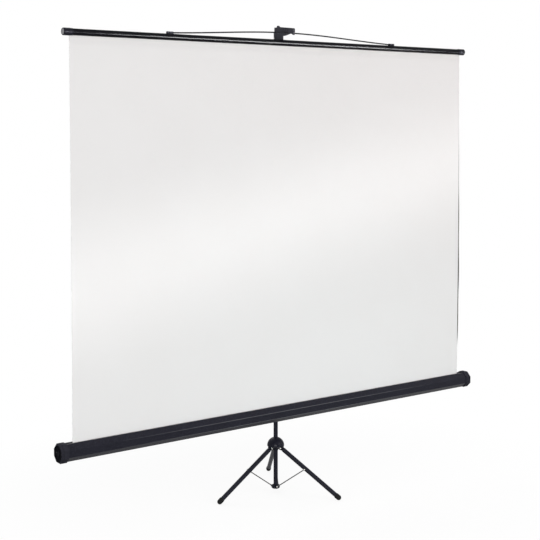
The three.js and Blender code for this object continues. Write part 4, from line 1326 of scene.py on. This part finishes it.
@dataclass(frozen=True)
class MastTrim:
    """Cross pin of the mast head and the buttons in the clamp knobs."""

    pin: DomeRivet = DomeRivet(head=0.0062, height=0.0016, dimple=0.0014)
    pin_drop: float = 0.052  # below the head's top
    button: DomeRivet = DomeRivet(head=0.013, height=0.0014, dimple=0.003, points=36)

    def build(self) -> list[bpy.types.Object]:
        """Make the pin heads and buttons.

        Returns:
            The pieces on the mast head and the knobs.
        """
        made = []
        low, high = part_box("mast_head")
        tube_low, tube_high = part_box("extension_tube")
        centre_y = (tube_low.y + tube_high.y) / 2.0
        for name, direction, face in (("left", Axis.MINUS_X, low.x), ("right", Axis.X, high.x)):
            place = Vector((face, centre_y, high.z - self.pin_drop))
            made.append(self.pin.build(
                f"head_pin_{name}", place, direction, "extension", ZINC_PLATE, "plated_steel"
            ))
        for knob in ("extension_knob", "carriage_knob"):
            low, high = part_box(knob)
            place = Vector(((low.x + high.x) / 2.0, high.y, (low.z + high.z) / 2.0))
            made.append(self.button.build(
                f"{knob}_button", place, Axis.Y, knob, BLACK_MOULDING, "black_moulding"
            ))
        return made


@dataclass(frozen=True)
class FrameDress:
    """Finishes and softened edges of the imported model's own pieces."""

    edge: float = 0.0004  # radius on the sharp edges of mouldings
    edge_angle: float = 40.0
    edge_steps: int = 2
    bevelled: tuple[str, ...] = (
        "mast_head", "case_cap", "base_collar", "mast_collar", "leg_hub", "leg_knuckle",
        "carriage_sleeve", "batten_cap", "bail_clip", "case_bracket", "case_shell",
    )

    @staticmethod
    def finish_of(node: str, slot: str) -> Finish:
        """Choose a node's finish.

        Args:
            node: The node's name.
            slot: Its slot in the record.

        Returns:
            The finish.
        """
        for start, finish in (
            ("batten_tube", BATTEN_PAINT),
            ("case_shell", SHELL_PAINT),
            ("case_cap", CAP_MOULDING),
            ("mast_head", HEAD_MOULDING),
            ("brace_rod", BRACE_PLATE),
        ):
            if node.startswith(start):
                return finish
        return {
            "black_paint": UPRIGHT_PAINT,
            "black_moulding": BLACK_MOULDING,
            "black_rubber": FOOT_RUBBER,
            "plated_steel": ZINC_PLATE,
            "spring_steel": SPRING_WIRE,
            "white_cloth": BLACK_COAT,
            "white_nylon": NYLON,
        }[slot]

    def build(self, frame: Mapping[str, Any]) -> None:
        """Dress every node.
        """
        slots = {part["node"]: part["material_slot"] for part in frame["record"]["subparts"]}
        for name, node in frame["nodes"].items():
            finish = self.finish_of(name, slots[name])
            node.data.materials.clear()
            node.data.materials.append(finish.material())
            if name.startswith(self.bevelled):
                self._soften(node)
            LOG.info("node %s: %s", name, finish.name)

    def _soften(self, node: bpy.types.Object) -> None:
        """Round the sharp edges of one node.

        Args:
            node: The node's object.
        """
        bevel = node.modifiers.new("soft_edges", "BEVEL")
        bevel.width = self.edge
        bevel.segments = self.edge_steps
        bevel.limit_method = "ANGLE"
        bevel.angle_limit = math.radians(self.edge_angle)
        bevel.use_clamp_overlap = True


@dataclass(frozen=True)
class Softbox:
    """One rectangular lamp of the studio."""

    name: str
    place: Colour
    aim: Colour
    size: tuple[float, float]
    watts: float
    tilt: float = 0.0  # turn about the beam, in degrees
    spread: float = 180.0
    tint: Colour = (1.0, 1.0, 1.0)
    glint: bool = False  # seen in reflections alone

    def build(self) -> bpy.types.Object:
        """Make the lamp.

        Returns:
            The lamp's object.
        """
        light = bpy.data.lights.new(self.name, "AREA")
        light.shape = "RECTANGLE"
        light.size, light.size_y = self.size
        light.energy = self.watts
        light.color = self.tint
        light.spread = math.radians(self.spread)
        lamp = bpy.data.objects.new(self.name, light)
        beam = Vector(self.aim) - Vector(self.place)
        turn = beam.to_track_quat("-Z", "Y").to_matrix().to_4x4()
        lamp.matrix_world = (
            Matrix.Translation(self.place) @ turn @ Matrix.Rotation(math.radians(self.tilt), 4, "Z")
        )
        lamp.visible_camera = False
        lamp.visible_diffuse = not self.glint
        bpy.context.scene.collection.objects.link(lamp)
        return lamp


@dataclass(frozen=True)
class Studio:
    """Camera at the photograph's viewing angle, white floor, soft lamps and world."""

    eye: Colour = (-2.8721, -3.8854, 1.5733)
    yaw: float = 36.183  # degrees from +Y towards +X
    pitch: float = 2.834  # degrees below the horizon
    lens: float = 76.07
    sensor: float = 36.0
    rise: float = -0.165  # the lens's vertical shift, over the picture's width
    floor: float = 40.0
    ambient: float = 0.6
    lamps: tuple[Softbox, ...] = (
        Softbox("key", (3.2, -4.8, 3.2), (0.0, -0.09, 1.1), (4.2, 1.6), 135.0, tint=(1.0, 0.93, 0.915)),
        Softbox("fill", (-3.8, -4.4, 1.0), (0.0, -0.09, 0.9), (2.6, 1.4), 122.0, tint=(0.975, 1.0, 1.0)),
        Softbox(
            "low", (2.2, -4.2, 0.6), (0.3, -0.09, 0.41), (2.0, 0.6), 1.4,
            spread=34.0, tint=(0.74, 0.98, 1.0),
        ),
        Softbox("back", (0.5, 3.2, 3.0), (0.0, 0.0, 0.8), (2.5, 1.5), 45.0),
        Softbox(
            "sheen", (0.0, -2.6, 1.18), (0.0, -0.088, 1.18), (2.8, 0.12), 0.48,
            tilt=12.5, spread=17.0,
        ),
        Softbox(
            "batten_strip", (2.0, -2.8, 0.9), (-0.1, -0.088, 1.91), (2.1, 0.8), 44.0,
            spread=30.0, glint=True,
        ),
        Softbox("tube_strip", (-3.0, -3.6, 1.0), (0.0, 0.0, 0.3), (0.5, 1.8), 80.0, glint=True),
    )

    def build(self) -> None:
        """Make the camera, floor, lamps and world."""
        self._camera()
        self._floor()
        for lamp in self.lamps:
            lamp.build()
        self._world()
        bpy.context.scene.view_settings.view_transform = "Standard"

    def _camera(self) -> None:
        """Put the camera where the photograph was taken from."""
        data = bpy.data.cameras.new("camera")
        data.lens = self.lens
        data.sensor_width = self.sensor
        data.shift_y = self.rise
        camera = bpy.data.objects.new("camera", data)
        camera.location = self.eye
        camera.rotation_euler = (math.radians(90.0 - self.pitch), 0.0, math.radians(-self.yaw))
        bpy.context.scene.collection.objects.link(camera)
        bpy.context.scene.camera = camera

    def _floor(self) -> None:
        """Lay the studio's white paper under the object."""
        half = self.floor / 2.0
        mesh = bmesh.new()
        corners = [(-half, -half), (half, -half), (half, half), (-half, half)]
        mesh.faces.new([mesh.verts.new((x, y, 0.0)) for x, y in corners])
        Workshop.add("floor", mesh, StudioWhite("studio_white"))

    def _world(self) -> None:
        """Light the object from all sides, white to the camera and to reflections."""
        world = bpy.data.worlds.new("studio")
        world.use_nodes = True
        bpy.context.scene.world = world
        tree = ShaderTree(world.node_tree)
        strength = self.ambient + tree.seen_ray() * (1.0 - self.ambient)
        light = tree.node("ShaderNodeBackground", {}, {"Color": WHITE, "Strength": strength})
        tree.node("ShaderNodeOutputWorld", {}, {"Surface": light})


def main() -> None:
    """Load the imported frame, dress it and set up the studio."""
    logging.basicConfig(level=logging.INFO, format="%(name)s: %(message)s")
    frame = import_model()
    FrameDress().build(frame)
    ScreenCloth().build()
    ClothTurns().build()
    CaseFasteners().build()
    BattenTrim().build()
    BailSleeves().build(frame["nodes"]["bail_wire"])
    MastTrim().build()
    Studio().build()


if __name__ == "__main__":
    main()
